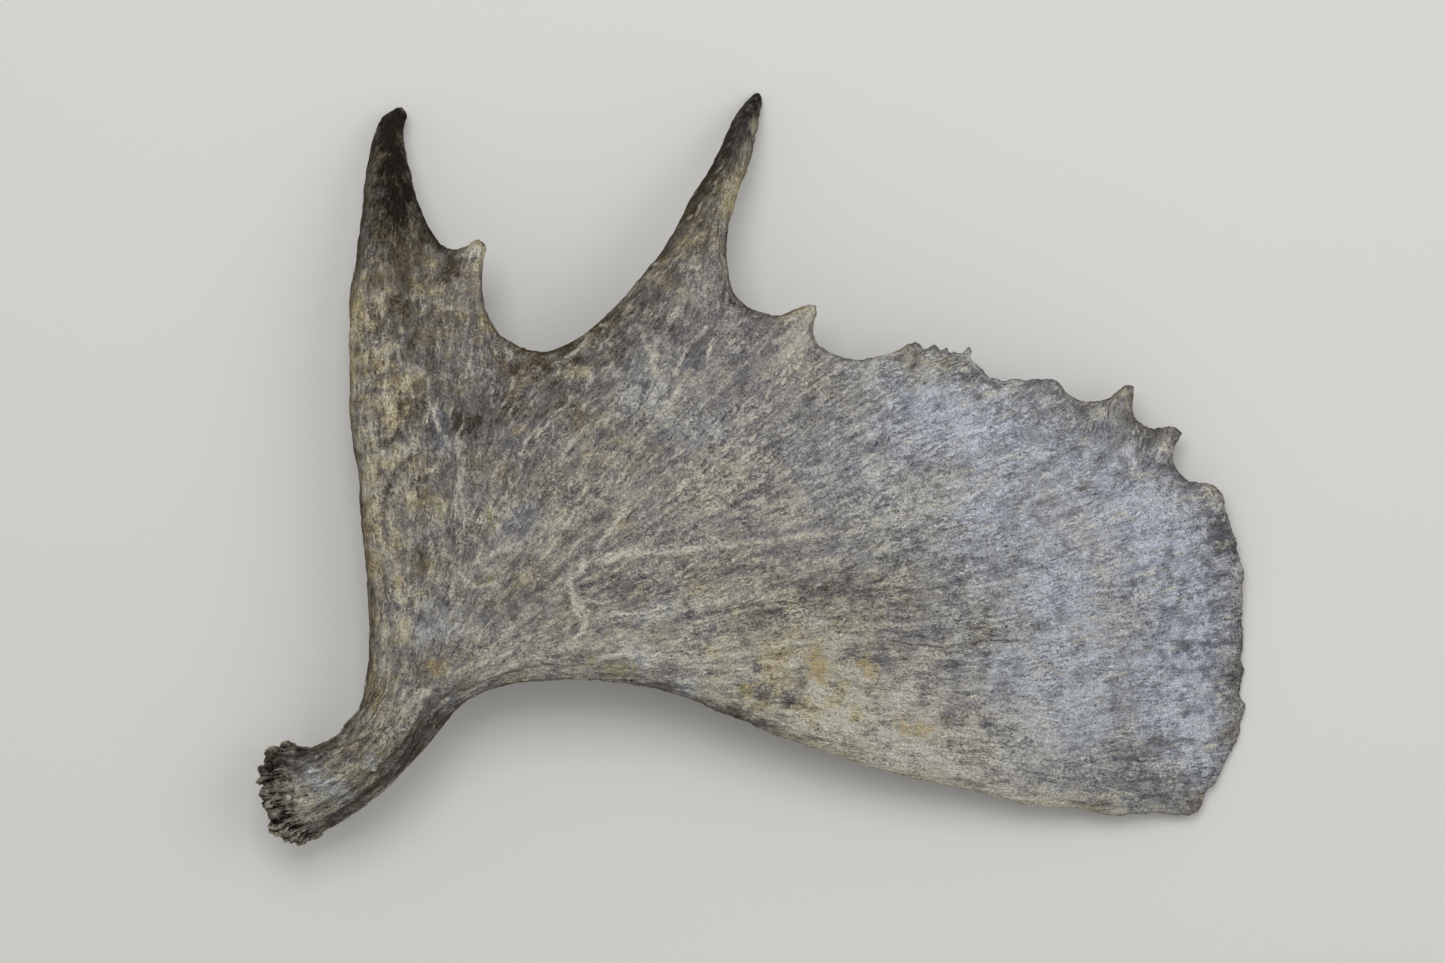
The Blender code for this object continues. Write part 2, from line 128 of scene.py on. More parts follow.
REAR_EDGE = [(340, -267), (305, -266), (272, -266), (253, -262), (206, -257), (160, -245),
             (105, -232), (68, -221), (27, -205), (19, -203), (-13, -189), (-52, -173),
             (-77, -166), (-97, -162), (-130, -159), (-165, -161), (-190, -165), (-210, -173)]
ROOT = [(-222, -181), (-233, -195), (-247, -213), (-260, -227), (-271, -235), (-283, -228),
        (-295, -219), (-304, -207)]
STRETCHES = [(BROW_FRONT, 0.25), (BROW_TIP, 0.1), (BROW_BACK, 0.15), (BAY, 0.15),
             (LONG_TINE, 0.1), (SHORT_POINT, 0.15), (CHEWED_EDGE, 0.35), (TOP_EDGE, 0.35),
             (FAR_RIM, 0.9), (REAR_EDGE, 0.4), (ROOT, 0.0)]

# How high the middle of the bone lies: x, y, height.
MIDDLE_HEIGHTS = [
    (-308, -199, 61), (-261, -223, 63), (-289, -217, 62), (-277, -203, 66), (-265, -183, 70),
    (-293, -149, 69), (-243, -138, 77), (-213, -167, 78), (-287, -69, 71), (-227, -69, 83),
    (-292, 28, 70), (-224, 36, 77), (-292, 126, 62), (-243, 111, 74), (-207, 168, 63),
    (-279, 196, 47), (-276, 235, 31), (-272, 273, 12), (-155, 87, 80), (-190, 0, 86),
    (-99, 126, 77), (-47, 149, 73), (-30, 196, 56), (-17, 228, 40), (-5, 260, 24), (4, 287, 2.6),
    (-144, -100, 91), (-114, -25, 95), (-40, 28, 94), (-2, 111, 78), (44, 119, 67), (36, -54, 99),
    (111, 13, 88), (142, 87, 62), (186, -69, 82), (226, 63, 52), (289, 60, 33), (327, 29, 22),
    (279, -70, 56), (360, -21, 20), (378, -132, 5.8), (349, -260, 8), (267, -264, 23),
    (189, -249, 39), (113, -233, 53), (29, -205, 66), (-40, -177, 76), (-144, -160, 84)]

# Thick ribs in the palms, from the fork outwards: x, y, half thickness.
FRONT_RIB = [(-289, -217, 27.2), (-277, -203, 27.5), (-266, -183, 26), (-267, -161, 23),
             (-273, -138, 20), (-279, -107, 17), (-285, -69, 15.5), (-288, -25, 14.5),
             (-290, 28, 14.5), (-290, 88, 15), (-287, 142, 16), (-281, 181, 15.5), (-277, 211, 14),
             (-277, 235, 12), (-277, 255, 9.5), (-273, 271, 7)]
REAR_RIB = [(-260, -187, 25), (-243, -167, 22), (-220, -160, 18), (-193, -150, 14),
            (-159, -144, 12), (-122, -141, 10.5), (-69, -150, 9.5), (-9, -175, 9), (58, -205, 8),
            (135, -230, 7), (220, -250, 6), (330, -258, 5)]
TINE_RIB = [(-247, -138, 20), (-227, -100, 15), (-190, -40, 11), (-144, 21, 9.5), (-99, 77, 11),
            (-66, 125, 14), (-41, 160, 16), (-30, 196, 15.5), (-24, 213, 14.5), (-17, 228, 13.5),
            (-12, 244, 12), (-7, 260, 10.5), (-2, 272, 9), (2, 283, 6)]
BROW_POINT_RIB = [(-251, 36, 7), (-228, 111, 8), (-212, 153, 8.5), (-207, 166, 7)]
SHORT_POINT_RIB = [(10, 69, 6), (36, 104, 8), (43, 116, 6.5)]
TOP_POINT_RIB = [(256, 13, 5), (289, 58, 5.5)]
END_POINT_RIB = [(295, -10, 5), (327, 28, 5)]
UPPER_FAN_RIB = [(-247, -138, 10), (-144, -79, 8.5), (39, -51, 7.5), (186, -33, 5.5)]
LOWER_FAN_RIB = [(-228, -138, 10), (-59, -108, 8), (118, -129, 5.5)]
# Each rib with how far its swelling reaches to the side.
RIBS = [(FRONT_RIB, 27), (REAR_RIB, 18), (TINE_RIB, 27), (BROW_POINT_RIB, 18),
        (SHORT_POINT_RIB, 14), (TOP_POINT_RIB, 14), (END_POINT_RIB, 14), (UPPER_FAN_RIB, 35),
        (LOWER_FAN_RIB, 35)]

# Narrow ridges on the outer face: x, y, how far the face stands up there.
FACE_RIDGES = [
    [(-207, -70, 0.8), (-168, -56, 1.8), (-138, -44, 0.6)],
    [(-135, -82, 1.6), (-121, -72, 2.0), (-95, -66, 1.6), (-28, -60, 1.4), (42, -52, 1.4),
     (94, -44, 1.2), (146, -33, 1.0), (189, -2, 0.4)],
    [(-116, -114, 0.6), (-69, -112, 1.4), (-46, -105, 1.4), (-11, -94, 0.4)],
    [(-137, -84, 1.6), (-132, -105, 2.2), (-126, -122, 0.8)]]
FACE_RIDGE_WIDTH = 4.5
REAR_GROOVE = [(-230, -174, 0.8), (-208, -160, 1.6), (-165, -145, 1.4), (-116, -151, 0.8)]
REAR_GROOVE_WIDTH = 6.0

# The beam's axis, from the burr up into the fork: x, y, z, radius.
BEAM_AXIS = [(-353.5, -249.2, 37.0, 34.5), (-342.3, -247.9, 42.1, 32.5), (-330.7, -243.8, 47.6, 30),
             (-317.2, -237.4, 53, 28.4), (-303.3, -229.1, 57.6, 27.6), (-289, -217.3, 62, 27),
             (-276.7, -202.6, 66, 27), (-265, -182.6, 70, 25.5), (-252.7, -156.6, 74.5, 20),
             (-241.5, -130.6, 79, 12)]
BEAM_RIDGES = (-40, 4, 38, 66, 101, 140, 178, 230, 285)
RIDGE_TWIST = 24
RIDGE_SIZE = 0.15
RIDGE_SEAT = 0.89

# The cuts at the fork, each along a line seen from above.
BEAM_CUT = ((-294.6, -166.5), (-220.1, -183.5))
PALM_CUT = ((-155.8, 88.2), (-241.3, -178.3))
FORK_MARGIN = 10.0   # the skin keeps all its triangles this close to the palms' cut

# The burr's pearls: place round the ring in degrees from its top, slide towards the seal, size.
PEARLS = [(76, 0, 1.0), (61, -2, 0.75), (45, 0, 0.95), (32, 1, 0.8), (22, -3, 0.6), (12, 0, 0.95),
          (-1, 1, 0.85), (-17, -3, 0.6), (-35, 1, 1.4), (-47, -3, 0.65), (-58, 0, 1.0),
          (-70, -4, 0.7), (-83, 1, 1.1), (-98, -4, 1.05), (93, -8, 0.8)]
HIDDEN_PEARLS = range(-112, -262, -13)   # degrees round the ring's far side
PEARL_HEIGHT = 1.12                      # as a share of a pearl's width
PEARL_UNEVENNESS = 0.3
# The swollen ring under the pearls is a row of wider knobs. Insets are in metres.
ROOT_KNOBS = 30
ROOT_SLIDE = -7
ROOT_INSET = 0.0045
ROOT_LENGTH = 1.7                        # as a share of a pearl's length
ROOT_WIDTH = 1.5                         # as a share of a pearl's width
SEAL_INSET = 0.003

# ---------------------------------------------------------------- grain, ridges, stains and painted shade

# Lines that the grain follows on both faces, from the fork outwards.
GRAIN_LINES = [
    [(-293, -191), (-287, -130), (-294, -40), (-298, 51), (-297, 142), (-287, 211), (-278, 267)],
    [(-266, -168), (-254, -100), (-258, -25), (-265, 51), (-266, 126), (-268, 203), (-274, 259)],
    [(-242, -130), (-227, -62), (-220, 13), (-216, 66), (-219, 126), (-212, 164)],
    [(-227, -115), (-197, -40), (-174, 20), (-144, 58), (-114, 88), (-77, 133), (-39, 187),
     (-5, 267)],
    [(-212, -118), (-159, -47), (-114, 13), (-77, 58), (-47, 111), (-28, 164), (-1, 251)],
    [(-205, -126), (-137, -69), (-99, -36), (-69, -2), (-32, 35), (6, 73), (40, 111)],
    [(-189, -122), (-135, -82), (-84, -54), (-24, -17), (36, 28), (96, 70), (127, 89)],
    [(-174, -130), (-114, -99), (-39, -63), (35, -39), (111, -2), (187, 36), (234, 63)],
    [(-144, -129), (-77, -112), (-25, -96), (50, -69), (133, -39), (217, -17), (272, 6),
     (289, 55)],
    [(-114, -137), (-24, -114), (73, -92), (156, -77), (248, -54), (319, -32), (370, -22)],
    [(-104, -143), (-16, -122), (62, -107), (134, -102), (218, -93), (292, -80), (377, -64)],
    [(-99, -148), (-9, -130), (51, -122), (111, -127), (187, -130), (264, -124), (376, -116)],
    [(-54, -164), (36, -171), (127, -187), (227, -204), (377, -195)],
    [(-212, -171), (-167, -148), (-114, -154), (-39, -171), (36, -202), (112, -223), (189, -242),
     (267, -255), (337, -262)],
    [(-351, -249), (-305, -229), (-266, -198), (-235, -168), (-212, -130)]]

# Pale veins and scars on the outer face: x, y, strength.
VEINS = [
    [(-119, -69, 0.9), (-127, -74, 1.0), (-135, -80, 1.0), (-139, -85, 1.0), (-135, -92, 0.9),
     (-129, -99, 0.9), (-125, -108, 1.0), (-124, -118, 1.0), (-127, -126, 0.9), (-135, -132, 0.7),
     (-148, -137, 0.6), (-163, -141, 0.5), (-182, -148, 0.5), (-204, -158, 0.5)],
    [(-114, -69, 0.5), (-104, -65, 0.8), (-91, -63, 0.8), (-76, -64, 0.8), (-62, -64, 0.6),
     (-39, -62, 0.6), (-26, -61, 0.5)],
    [(-115, -60, 0.6), (-111, -53, 1.0), (-106, -48, 1.0), (-100, -39, 0.8), (-93, -32, 0.5),
     (-82, -24, 0.4)],
    [(-198, -66, 0.6), (-189, -63, 0.7), (-174, -58, 0.8), (-159, -54, 0.6), (-150, -51, 0.5)],
    [(-227, -66, 0.5), (-223, -78, 0.7), (-213, -86, 0.9), (-204, -90, 0.8), (-189, -86, 0.5)],
    [(-201, -58, 0.6), (-205, -66, 0.9), (-208, -72, 0.8)],
    [(-220, -1, 0.8), (-218, -8, 1.0), (-221, -16, 0.8)],
    [(-192, -33, 0.5), (-191, -43, 0.9), (-187, -54, 0.7)],
    [(-145, 1, 0.6), (-142, 11, 0.7), (-135, 20, 0.6), (-125, 32, 0.3)],
    [(-84, 20, 0.4), (-77, 30, 0.6), (-69, 40, 0.6), (-58, 53, 0.5), (-39, 71, 0.4)],
    [(-243, 52, 0.5), (-238, 36, 0.9), (-231, 22, 0.9), (-227, 14, 0.6)],
    [(-114, -110, 0.5), (-95, -109, 0.8), (-77, -107, 0.7), (-47, -102, 0.7), (-28, -99, 0.5),
     (17, -97, 0.4)], [(64, -45, 0.5), (88, -39, 0.7), (114, -34, 0.6), (148, -27, 0.4)],
    [(-178, 4, 0.4), (-172, 15, 0.7), (-167, 23, 0.4)],
    [(-84, 103, 0.3), (-78, 88, 0.5), (-73, 71, 0.5), (-75, 54, 0.4)],
    [(-13, 28, 0.3), (-2, 37, 0.6), (12, 44, 0.5)],
    [(-114, -140, 0.5), (-84, -140, 0.8), (-58, -143, 0.7), (-32, -148, 0.4)]]

# Drying cracks and sharp furrows: x, y, strength.
CRACKS = [
    [(-29, 22, 0.6), (-17, 26, 0.4)], [(9, 20, 0.4), (24, 26, 0.8), (35, 32, 0.5)],
    [(50, 37, 0.5), (62, 40, 0.9), (73, 42, 0.9), (82, 47, 0.8), (92, 50, 0.9), (102, 53, 0.4)],
    [(62, -122, 0.4), (73, -124, 0.9), (88, -128, 0.6), (111, -132, 0.9), (129, -134, 0.9),
     (145, -135, 1.0), (156, -134, 0.9), (171, -131, 0.9), (186, -130, 1.0), (195, -130, 0.8),
     (209, -132, 0.8), (221, -133, 0.4)],
    [(47, -100, 0.4), (65, -97, 0.6), (76, -94, 0.8), (89, -92, 0.7), (100, -90, 0.4)],
    [(62, -104, 0.5), (73, -101, 0.8), (83, -100, 0.6)],
    [(160, -118, 0.6), (167, -120, 0.9), (177, -120, 0.9), (186, -116, 0.8), (197, -115, 0.4)],
    [(200, -119, 0.4), (209, -122, 0.8), (218, -119, 0.6)],
    [(167, -109, 0.5), (176, -109, 0.8), (180, -104, 0.6)],
    [(232, -21, 0.4), (243, -17, 0.9), (255, -14, 0.9), (267, -10, 0.4)],
    [(207, 14, 0.3), (217, 18, 0.7), (226, 21, 0.4)],
    [(157, -218, 0.4), (169, -215, 0.9), (182, -215, 0.7)], [(167, -226, 0.4), (176, -223, 0.7)],
    [(146, -67, 0.5), (155, -72, 0.7), (163, -71, 0.5)],
    [(116, -36, 0.5), (129, -37, 0.8), (138, -34, 0.5)], [(143, -32, 0.5), (160, -33, 0.5)],
    [(-99, -47, 0.5), (-93, -39, 0.9), (-87, -32, 1.0), (-82, -26, 0.8)],
    [(-76, -67, 0.6), (-62, -67, 0.9), (-47, -66, 0.8), (-35, -66, 0.4)],
    [(-238, 32, 0.5), (-230, 20, 0.8), (-225, 13, 0.5)], [(186, -137, 0.5), (196, -140, 0.6)],
    [(175, -156, 0.3), (194, -159, 0.4)], [(-121, 28, 0.2), (-95, 47, 0.6), (-77, 61, 0.3)],
    [(-9, -92, 0.4), (13, -86, 0.5)], [(28, -133, 0.3), (47, -129, 0.5)],
    [(320, -224, 0.3), (304, -212, 0.5), (281, -217, 0.4)],
    [(-235, -174, 0.7), (-212, -166, 1.0), (-193, -157, 0.9), (-169, -150, 0.9), (-133, -148, 0.8),
     (-110, -146, 0.4)], [(-272, -88, 0.2), (-274, -130, 0.6), (-276, -175, 0.4)],
    [(-280, -40, 0.4), (-277, -100, 0.5)], [(-296, -232, 0.9), (-285, -229, 0.7)],
    [(-221, -163, 0.8), (-231, -173, 1.1), (-242, -183, 0.9), (-252, -196, 1.1), (-262, -209, 0.9),
     (-276, -222, 1.1), (-289, -233, 0.9), (-302, -243, 1.0)],
    [(-257, -170, 0.6), (-265, -185, 0.9), (-276, -196, 1.0), (-289, -202, 1.1), (-302, -208, 1.0),
     (-318, -212, 1.2), (-331, -215, 1.1)],
    [(-221, -179, 0.8), (-231, -189, 1.1), (-242, -201, 0.9), (-252, -214, 1.1), (-265, -227, 1.0),
     (-278, -237, 1.1), (-294, -248, 0.9), (-310, -258, 1.0)],
    [(62, -206, 0.5), (83, -215, 0.7), (107, -223, 0.6), (133, -231, 0.7), (175, -241, 0.5)],
    [(-22, -186, 0.6), (10, -196, 0.9), (40, -206, 0.7)],
    [(210, -250, 0.5), (262, -258, 0.8), (310, -260, 0.5)]]

PORES = [(218, -75), (222, -77), (245, -79), (242, -76), (216, -105), (179, 30), (8, 40),
         (194, -208), (261, -181), (335, -46), (299, -34), (86, -181), (24, -187), (62, -196),
         (-126, 11), (-189, -30), (-239, -148), (-234, -145), (-237, -151), (-257, -169),
         (-166, 71), (358, -202), (368, -205), (276, -251)]

# Stains, tones and painted shade on the outer face: reach, then x, y, strength along each stroke.
# Dark stain of the tines, with painted shade: a painted shadow at the brow tine's base, darker
# edges of the brow tine, the beam's lower edge, the burr's upper left, and light falling off along
# the brow tine.
DARK_STAIN_AND_SHADE = [
    (20, [(-276, 273, 1.0), (-278, 251, 1.0), (-274, 231, 1.0), (-270, 211, 0.95), (-268, 191, 0.9),
          (-267, 172, 0.62)]), (14, [(-271, 273, 1.3), (-277, 256, 1.2)]),
    (9, [(-255, 215, 1.0), (-249, 196, 0.95), (-242, 182, 0.85)]),
    (6, [(-243, 177, 0.8), (-234, 168, 0.75)]),
    (7, [(-289, 250, 0.8), (-294, 225, 0.65), (-299, 195, 0.35)]),
    (5, [(-263, 164, 0.35), (-262, 145, 0.5), (-261, 126, 0.4)]),
    (9, [(4, 287, 0.9), (-3, 268, 0.85), (-12, 246, 0.6), (-21, 228, 0.35)]),
    (7, [(-15, 262, 0.6), (-27, 240, 0.55), (-39, 215, 0.4)]),
    (9, [(-368, -225, 0.7), (-353, -223, 0.6)]), (6, [(-342, -215, 0.8)]),
    (5, [(-254, -205, 0.5), (-269, -227, 0.6), (-296, -249, 0.5), (-319, -268, 0.45)])]
# Darker grey-brown blotches of the bone; the wide strokes over the two tines are painted shade
# where light falls off.
SHADE = [
    (13, [(-223, 39, 0.9), (-206, 32, 0.8), (-189, 47, 0.6), (-159, 52, 0.6), (-140, 71, 0.4)]),
    (8, [(-230, 33, 0.9)]),
    (8, [(-189, 69, 0.6), (-170, 71, 0.7), (-155, 77, 0.6), (-133, 84, 0.7)]),
    (6, [(-103, 99, 0.6), (-77, 118, 0.5)]),
    (7, [(-269, 97, 0.6), (-257, 92, 0.6), (-272, 84, 0.5)]), (8, [(-285, 40, 1.1)]),
    (6, [(-286, 28, 0.5)]), (7, [(-294, 72, 0.3)]), (8, [(-234, -10, 0.6), (-242, -2, 0.4)]),
    (11, [(-238, -55, 1.5)]), (9, [(-246, -40, 0.45), (-247, -57, 0.9)]),
    (8, [(-177, -43, 0.6), (-166, -36, 0.5)]), (8, [(-215, -51, 0.5)]),
    (9, [(-125, -88, 0.7), (-110, -92, 0.7), (-95, -88, 0.5)]),
    (6, [(-170, -92, 0.5), (-155, -86, 0.6)]), (8, [(-204, -111, 0.4), (-178, -110, 0.4)]),
    (9, [(-23, -69, 0.6), (-9, -73, 0.6)]), (12, [(-47, -77, 0.3), (6, -69, 0.3)]),
    (9, [(28, -93, 0.6), (69, -84, 0.6), (65, -95, 0.6), (95, -90, 0.6), (114, -83, 0.5)]),
    (7, [(148, -84, 0.7), (152, -96, 0.6)]), (8, [(13, -107, 0.6), (24, -113, 0.5)]),
    (7, [(137, -118, 0.6), (129, -122, 0.4)]), (9, [(88, -141, 0.4), (96, -148, 0.5)]),
    (6, [(6, 41, 0.6)]), (5, [(13, 20, 0.6)]), (8, [(307, 21, 0.7), (287, 25, 0.6)]),
    (7, [(271, 28, 0.4)]), (9, [(354, -40, 0.2), (354, -59, 0.3)]), (14, [(314, -78, 0.4)]),
    (14, [(289, -231, 0.5), (312, -212, 0.5), (320, -201, 0.4)]),
    (14, [(311, -143, 0.35), (287, -150, 0.3)]), (9, [(273, -246, 0.5), (297, -247, 0.4)]),
    (8, [(-114, 73, 0.4), (-103, 88, 0.4)]), (6, [(-24, 160, 0.5), (-33, 154, 0.7)]),
    (12, [(65, -60, 0.2), (110, -60, 0.25)]), (14, [(166, -168, 0.3)]), (8, [(78, -168, 0.9)]),
    (7, [(-161, -70, 0.6)]), (12, [(252, -168, 0.5)]), (10, [(66, -150, 0.4)]),
    (24, [(-276, 200, 0.5), (-262, 168, 0.3)]), (26, [(-14, 245, 0.6), (-38, 205, 0.2)]),
    (12, [(-45, 160, 0.3), (-75, 130, 0.35)])]
# Broad darker zones, reach first: painted shade where light falls off over the tines and the brow
# palm, along the edges, on the beam's lower side and at the burr, and darker bone in places.
DIM_AND_PAINTED_SHADE = [
    (40, [(-237, 127, 0.6), (-232, 30, 0.65), (-175, 35, 0.7), (-150, 66, 0.7)]),
    (13, [(-298, 203, 1.0), (-300, 150, 0.7)]), (30, [(-255, 138, 0.5)]), (20, [(-262, 112, 1.5)]),
    (11, [(-225, 151, 2.0)]), (18, [(-238, 28, 1.0), (-212, 30, 1.1)]),
    (8, [(-301, 60, 0.4), (-298, 13, 0.6), (-296, -20, 1.2), (-292, -70, 1.0), (-288, -160, 0.7),
         (-290, -185, 0.8), (-292, -205, 1.2)]),
    (11, [(-238, -190, 1.7), (-252, -201, 1.3), (-272, -230, 0.7), (-321, -266, 0.7)]),
    (15, [(-242, -144, 0.7), (-266, -168, 0.6)]), (14, [(-232, -100, 0.3)]),
    (17, [(-352, -224, 1.1), (-330, -217, 0.8), (-308, -202, 0.7)]),
    (13, [(-76, 146, 0.6), (-55, 188, 1.3), (-38, 220, 1.6), (-22, 250, 1.5), (-10, 270, 0.7)]),
    (11, [(-42, 200, 1.5), (-33, 214, 1.3)]), (15, [(-120, 92, 1.3), (-84, 130, 0.9)]),
    (26, [(-92, 88, 0.6)]), (16, [(-38, 164, 0.7)]), (12, [(-62, 134, 0.8), (-76, 98, 0.8)]),
    (10, [(-204, 98, 1.0), (-150, 88, 1.1), (-134, 93, 1.0)]),
    (26, [(212, 48, 0.4), (245, 38, 0.6), (268, 20, 0.5)]), (11, [(276, 54, 1.3), (288, 56, 1.1)]),
    (10, [(312, 30, 1.3), (324, 25, 1.3), (358, -16, 0.6)]),
    (24, [(300, -236, 0.9), (335, -248, 0.7)]),
    (12, [(112, 88, 0.9), (140, 84, 0.9), (176, 62, 1.1)]), (14, [(362, -62, 1.3)]),
    (20, [(312, -92, 0.3), (304, -146, 0.4), (352, -118, 0.5)]),
    (16, [(205, -46, 0.2), (198, -72, 0.25), (166, -68, 0.5)]),
    (7, [(-45, -179, 1.2), (4, -194, 1.0)]), (7, [(375, -110, 0.6), (376, -190, 0.4)]),
    (12, [(-228, 164, 1.1), (-242, 170, 1.3)]), (11, [(-210, -56, 0.5)]),
    (8, [(289, 40, 1.2), (299, 32, 1.0)]), (9, [(-209, 86, 1.4)]),
    (9, [(320, 0, 1.4), (336, -12, 1.3)]), (9, [(128, 68, 0.9)]), (7, [(183, 62, 1.4)]),
    (12, [(-13, 128, 1.0), (5, 108, 0.9)]), (14, [(97, 36, 0.5)]),
    (34, [(-75, 42, 0.14), (-30, 42, 0.12), (97, 38, 0.12)]), (12, [(200, -36, 0.3)]),
    (14, [(-60, 90, 0.7), (-30, 92, 0.6)]), (12, [(188, -230, 0.5)])]
BLEACH = [
    (57, [(133, 51, 0.92), (186, 21, 0.95), (247, -2, 0.8), (302, -40, 1.0), (326, -101, 1.0),
          (319, -178, 1.0), (336, -232, 0.8)]),
    (61, [(185, -39, 0.9), (232, -100, 1.0), (248, -169, 0.95)]), (40, [(205, -155, 0.95)]),
    (46, [(73, 13, 0.4), (110, -39, 0.4)]), (15, [(-234, -112, 0.65)]),
    (10, [(-334, -233, 0.7), (-312, -244, 0.6)]), (9, [(-84, -140, 0.6)]), (9, [(-47, -167, 0.5)]),
    (20, [(-84, 65, 0.3), (-39, 28, 0.3)]), (9, [(-269, -202, 0.45)]), (8, [(-282, -219, 0.5)]),
    (12, [(-174, -39, 0.35)]), (6, [(-84, -112, 0.5), (-60, -106, 0.4)]),
    (6, [(-237, 38, 0.5), (-229, 18, 0.5)])]
CREAM = [
    (34, [(44, -150, 0.95), (100, -190, 1.25), (150, -215, 1.2), (203, -232, 0.6)]),
    (8, [(2, 272, 0.5), (-2, 255, 0.8), (-6, 238, 0.95), (-11, 218, 0.8), (-17, 198, 0.9)]),
    (10, [(-277, 36, 0.5), (-272, 14, 0.6)]),
    (15, [(-39, -170, 0.6), (6, -188, 0.8), (59, -207, 1.1), (112, -225, 1.2), (158, -240, 1.5),
          (219, -255, 0.8), (305, -263, 0.55)]), (12, [(62, -142, 0.7)]),
    (7, [(98, -157, 1.0), (122, -180, 0.8), (132, -176, 0.6)]),
    (14, [(118, -180, 0.4), (140, -142, 0.5)]), (9, [(12, -2, 0.5), (22, -8, 0.4)]),
    (12, [(-78, -38, 0.3), (-42, -33, 0.4)]),
    (11, [(21, -152, 0.8), (9, -148, 0.6), (13, -167, 0.6)]), (5, [(100, -154, 1.0)]),
    (13, [(36, -179, 0.7), (58, -186, 0.9), (74, -190, 0.9), (89, -209, 0.7)]),
    (8, [(134, -187, 0.6), (149, -191, 0.5)]), (9, [(217, -153, 0.5), (213, -145, 0.4)]),
    (10, [(-299, 126, 0.55), (-298, 36, 0.65), (-292, -25, 0.75), (-288, -70, 0.65),
          (-283, -130, 0.55), (-274, -167, 0.4)]), (9, [(-208, 167, 1.5), (-208, 156, 0.7)]),
    (6, [(-144, 79, 0.8), (-137, 73, 0.7)]), (6, [(-122, 69, 0.8), (-125, 62, 0.6)]),
    (7, [(-265, 66, 0.6), (-257, 73, 0.5)]), (8, [(-274, 92, 0.6), (-276, 77, 0.6)]),
    (8, [(-265, 32, 0.5), (-257, 13, 0.4)]), (6, [(-144, -36, 0.7), (-147, -43, 0.6)]),
    (6, [(-174, 28, 0.5), (-189, 26, 0.4)]), (8, [(-47, -17, 0.4), (-24, -2, 0.3)]),
    (8, [(-212, -122, 0.5), (-206, -129, 0.5)]), (9, [(-68, -118, 0.7), (-73, -125, 0.4)]),
    (5, [(330, -105, 0.6)]), (9, [(247, -40, 0.4), (239, -47, 0.4)]), (5, [(288, -64, 0.6)]),
    (6, [(264, 44, 0.6), (280, 51, 0.8), (287, 60, 1.0)]), (9, [(196, -222, 0.4)]),
    (11, [(115, 87, 0.6), (134, 77, 0.55), (158, 77, 0.5), (187, 60, 0.35)]),
    (7, [(323, 27, 0.9), (319, 15, 0.5)]), (7, [(352, -16, 0.9)]),
    (9, [(43, 119, 1.3), (36, 104, 0.9), (34, 90, 0.5)]),
    (7, [(-122, 92, 0.4), (-84, 126, 0.5), (-47, 171, 0.4)]), (12, [(-342, -258, 0.3)]),
    (7, [(20, -201, 0.9), (68, -218, 1.3), (105, -229, 1.5), (160, -242, 1.8), (206, -254, 1.4),
         (262, -262, 1.1)]), (6, [(328, -259, 0.5)]),
    (9, [(-275, 66, 0.8), (-270, 30, 1.1), (-276, 20, 0.6)]), (8, [(-287, 108, 1.3)]),
    (8, [(-115, 32, 0.4)]), (9, [(-184, -32, 0.3)]),
    (9, [(-102, -146, 0.5), (-77, -118, 0.55), (-38, -150, 0.45), (-9, -123, 0.6)]),
    (12, [(12, -38, 0.5), (38, -42, 0.4)]), (12, [(6, -86, 0.6), (30, -104, 0.5), (34, -144, 0.9)]),
    (11, [(6, -2, 0.6), (-40, -22, 0.4)]), (9, [(67, -74, 0.45)]),
    (50, [(-110, -70, 0.12), (0, -80, 0.12), (60, -92, 0.1)]),
    (50, [(230, -85, 0.1), (235, -130, 0.12)]),
    (13, [(60, -188, 1.2), (88, -208, 1.5), (124, -190, 1.1), (152, -226, 1.5)]),
    (9, [(174, -122, 0.45)]), (12, [(85, 8, 0.35), (112, -19, 0.35), (150, -8, 0.3)]),
    (14, [(268, -100, 0.3), (266, -44, 0.2)]), (15, [(295, -112, 0.45), (234, -131, 0.35)]),
    (10, [(282, -218, 0.3), (333, -236, 0.3)])]
WARM = [
    (35, [(-265, 126, 0.7), (-280, 13, 0.8), (-287, -100, 0.7), (-280, -145, 0.5)]),
    (36, [(-280, 200, 1.0), (-262, 140, 0.9), (-225, 118, 1.0)]), (30, [(165, -50, 0.4)]),
    (15, [(-165, 84, 1.8), (-145, 88, 1.7), (-122, 102, 1.3)]), (15, [(-102, 114, 1.8)]),
    (21, [(95, 76, 1.4), (116, 76, 1.8), (142, 74, 1.1)]), (22, [(325, -252, 1.4)]),
    (12, [(344, -258, 2.2)]), (11, [(-293, -138, 2.0), (-283, -177, 1.3)]),
    (10, [(371, -150, 0.9), (368, -212, 1.3)]), (30, [(-148, 58, 0.9)]),
    (20, [(-26, 208, 1.6), (-47, 172, 1.1), (-84, 126, 0.9)]),
    (20, [(-319, -240, 0.45), (-265, -190, 0.3)]), (32, [(-276, 246, 1.3), (-274, 180, 1.1)]),
    (15, [(-290, 142, 1.8), (-296, 110, 0.7)]), (16, [(-205, 107, 2.0)]),
    (32, [(20, -160, 0.4), (60, -185, 0.4)]), (16, [(20, -160, 1.5), (0, -118, 0.4)]),
    (15, [(43, 103, 0.2)]), (12, [(284, 51, 0.9), (319, 21, 0.8)]), (16, [(-361, -252, 0.6)]),
    (10, [(-125, 8, 0.6)]), (12, [(-168, 71, 0.8), (-186, 79, 0.6)]), (9, [(-13, -73, 0.6)]),
    (14, [(-275, 145, 0.5), (-239, 145, 0.5)]), (9, [(65, -69, 0.4)]), (12, [(-130, 74, 0.6)]),
    (9, [(35, -92, 0.4)]), (8, [(-238, -148, 0.8)]),
    (26, [(182, -78, 0.8), (226, -128, 0.9), (232, -165, 0.9), (266, -192, 0.9)]),
    (22, [(222, 22, 0.6)]), (9, [(20, -204, 0.9)])]
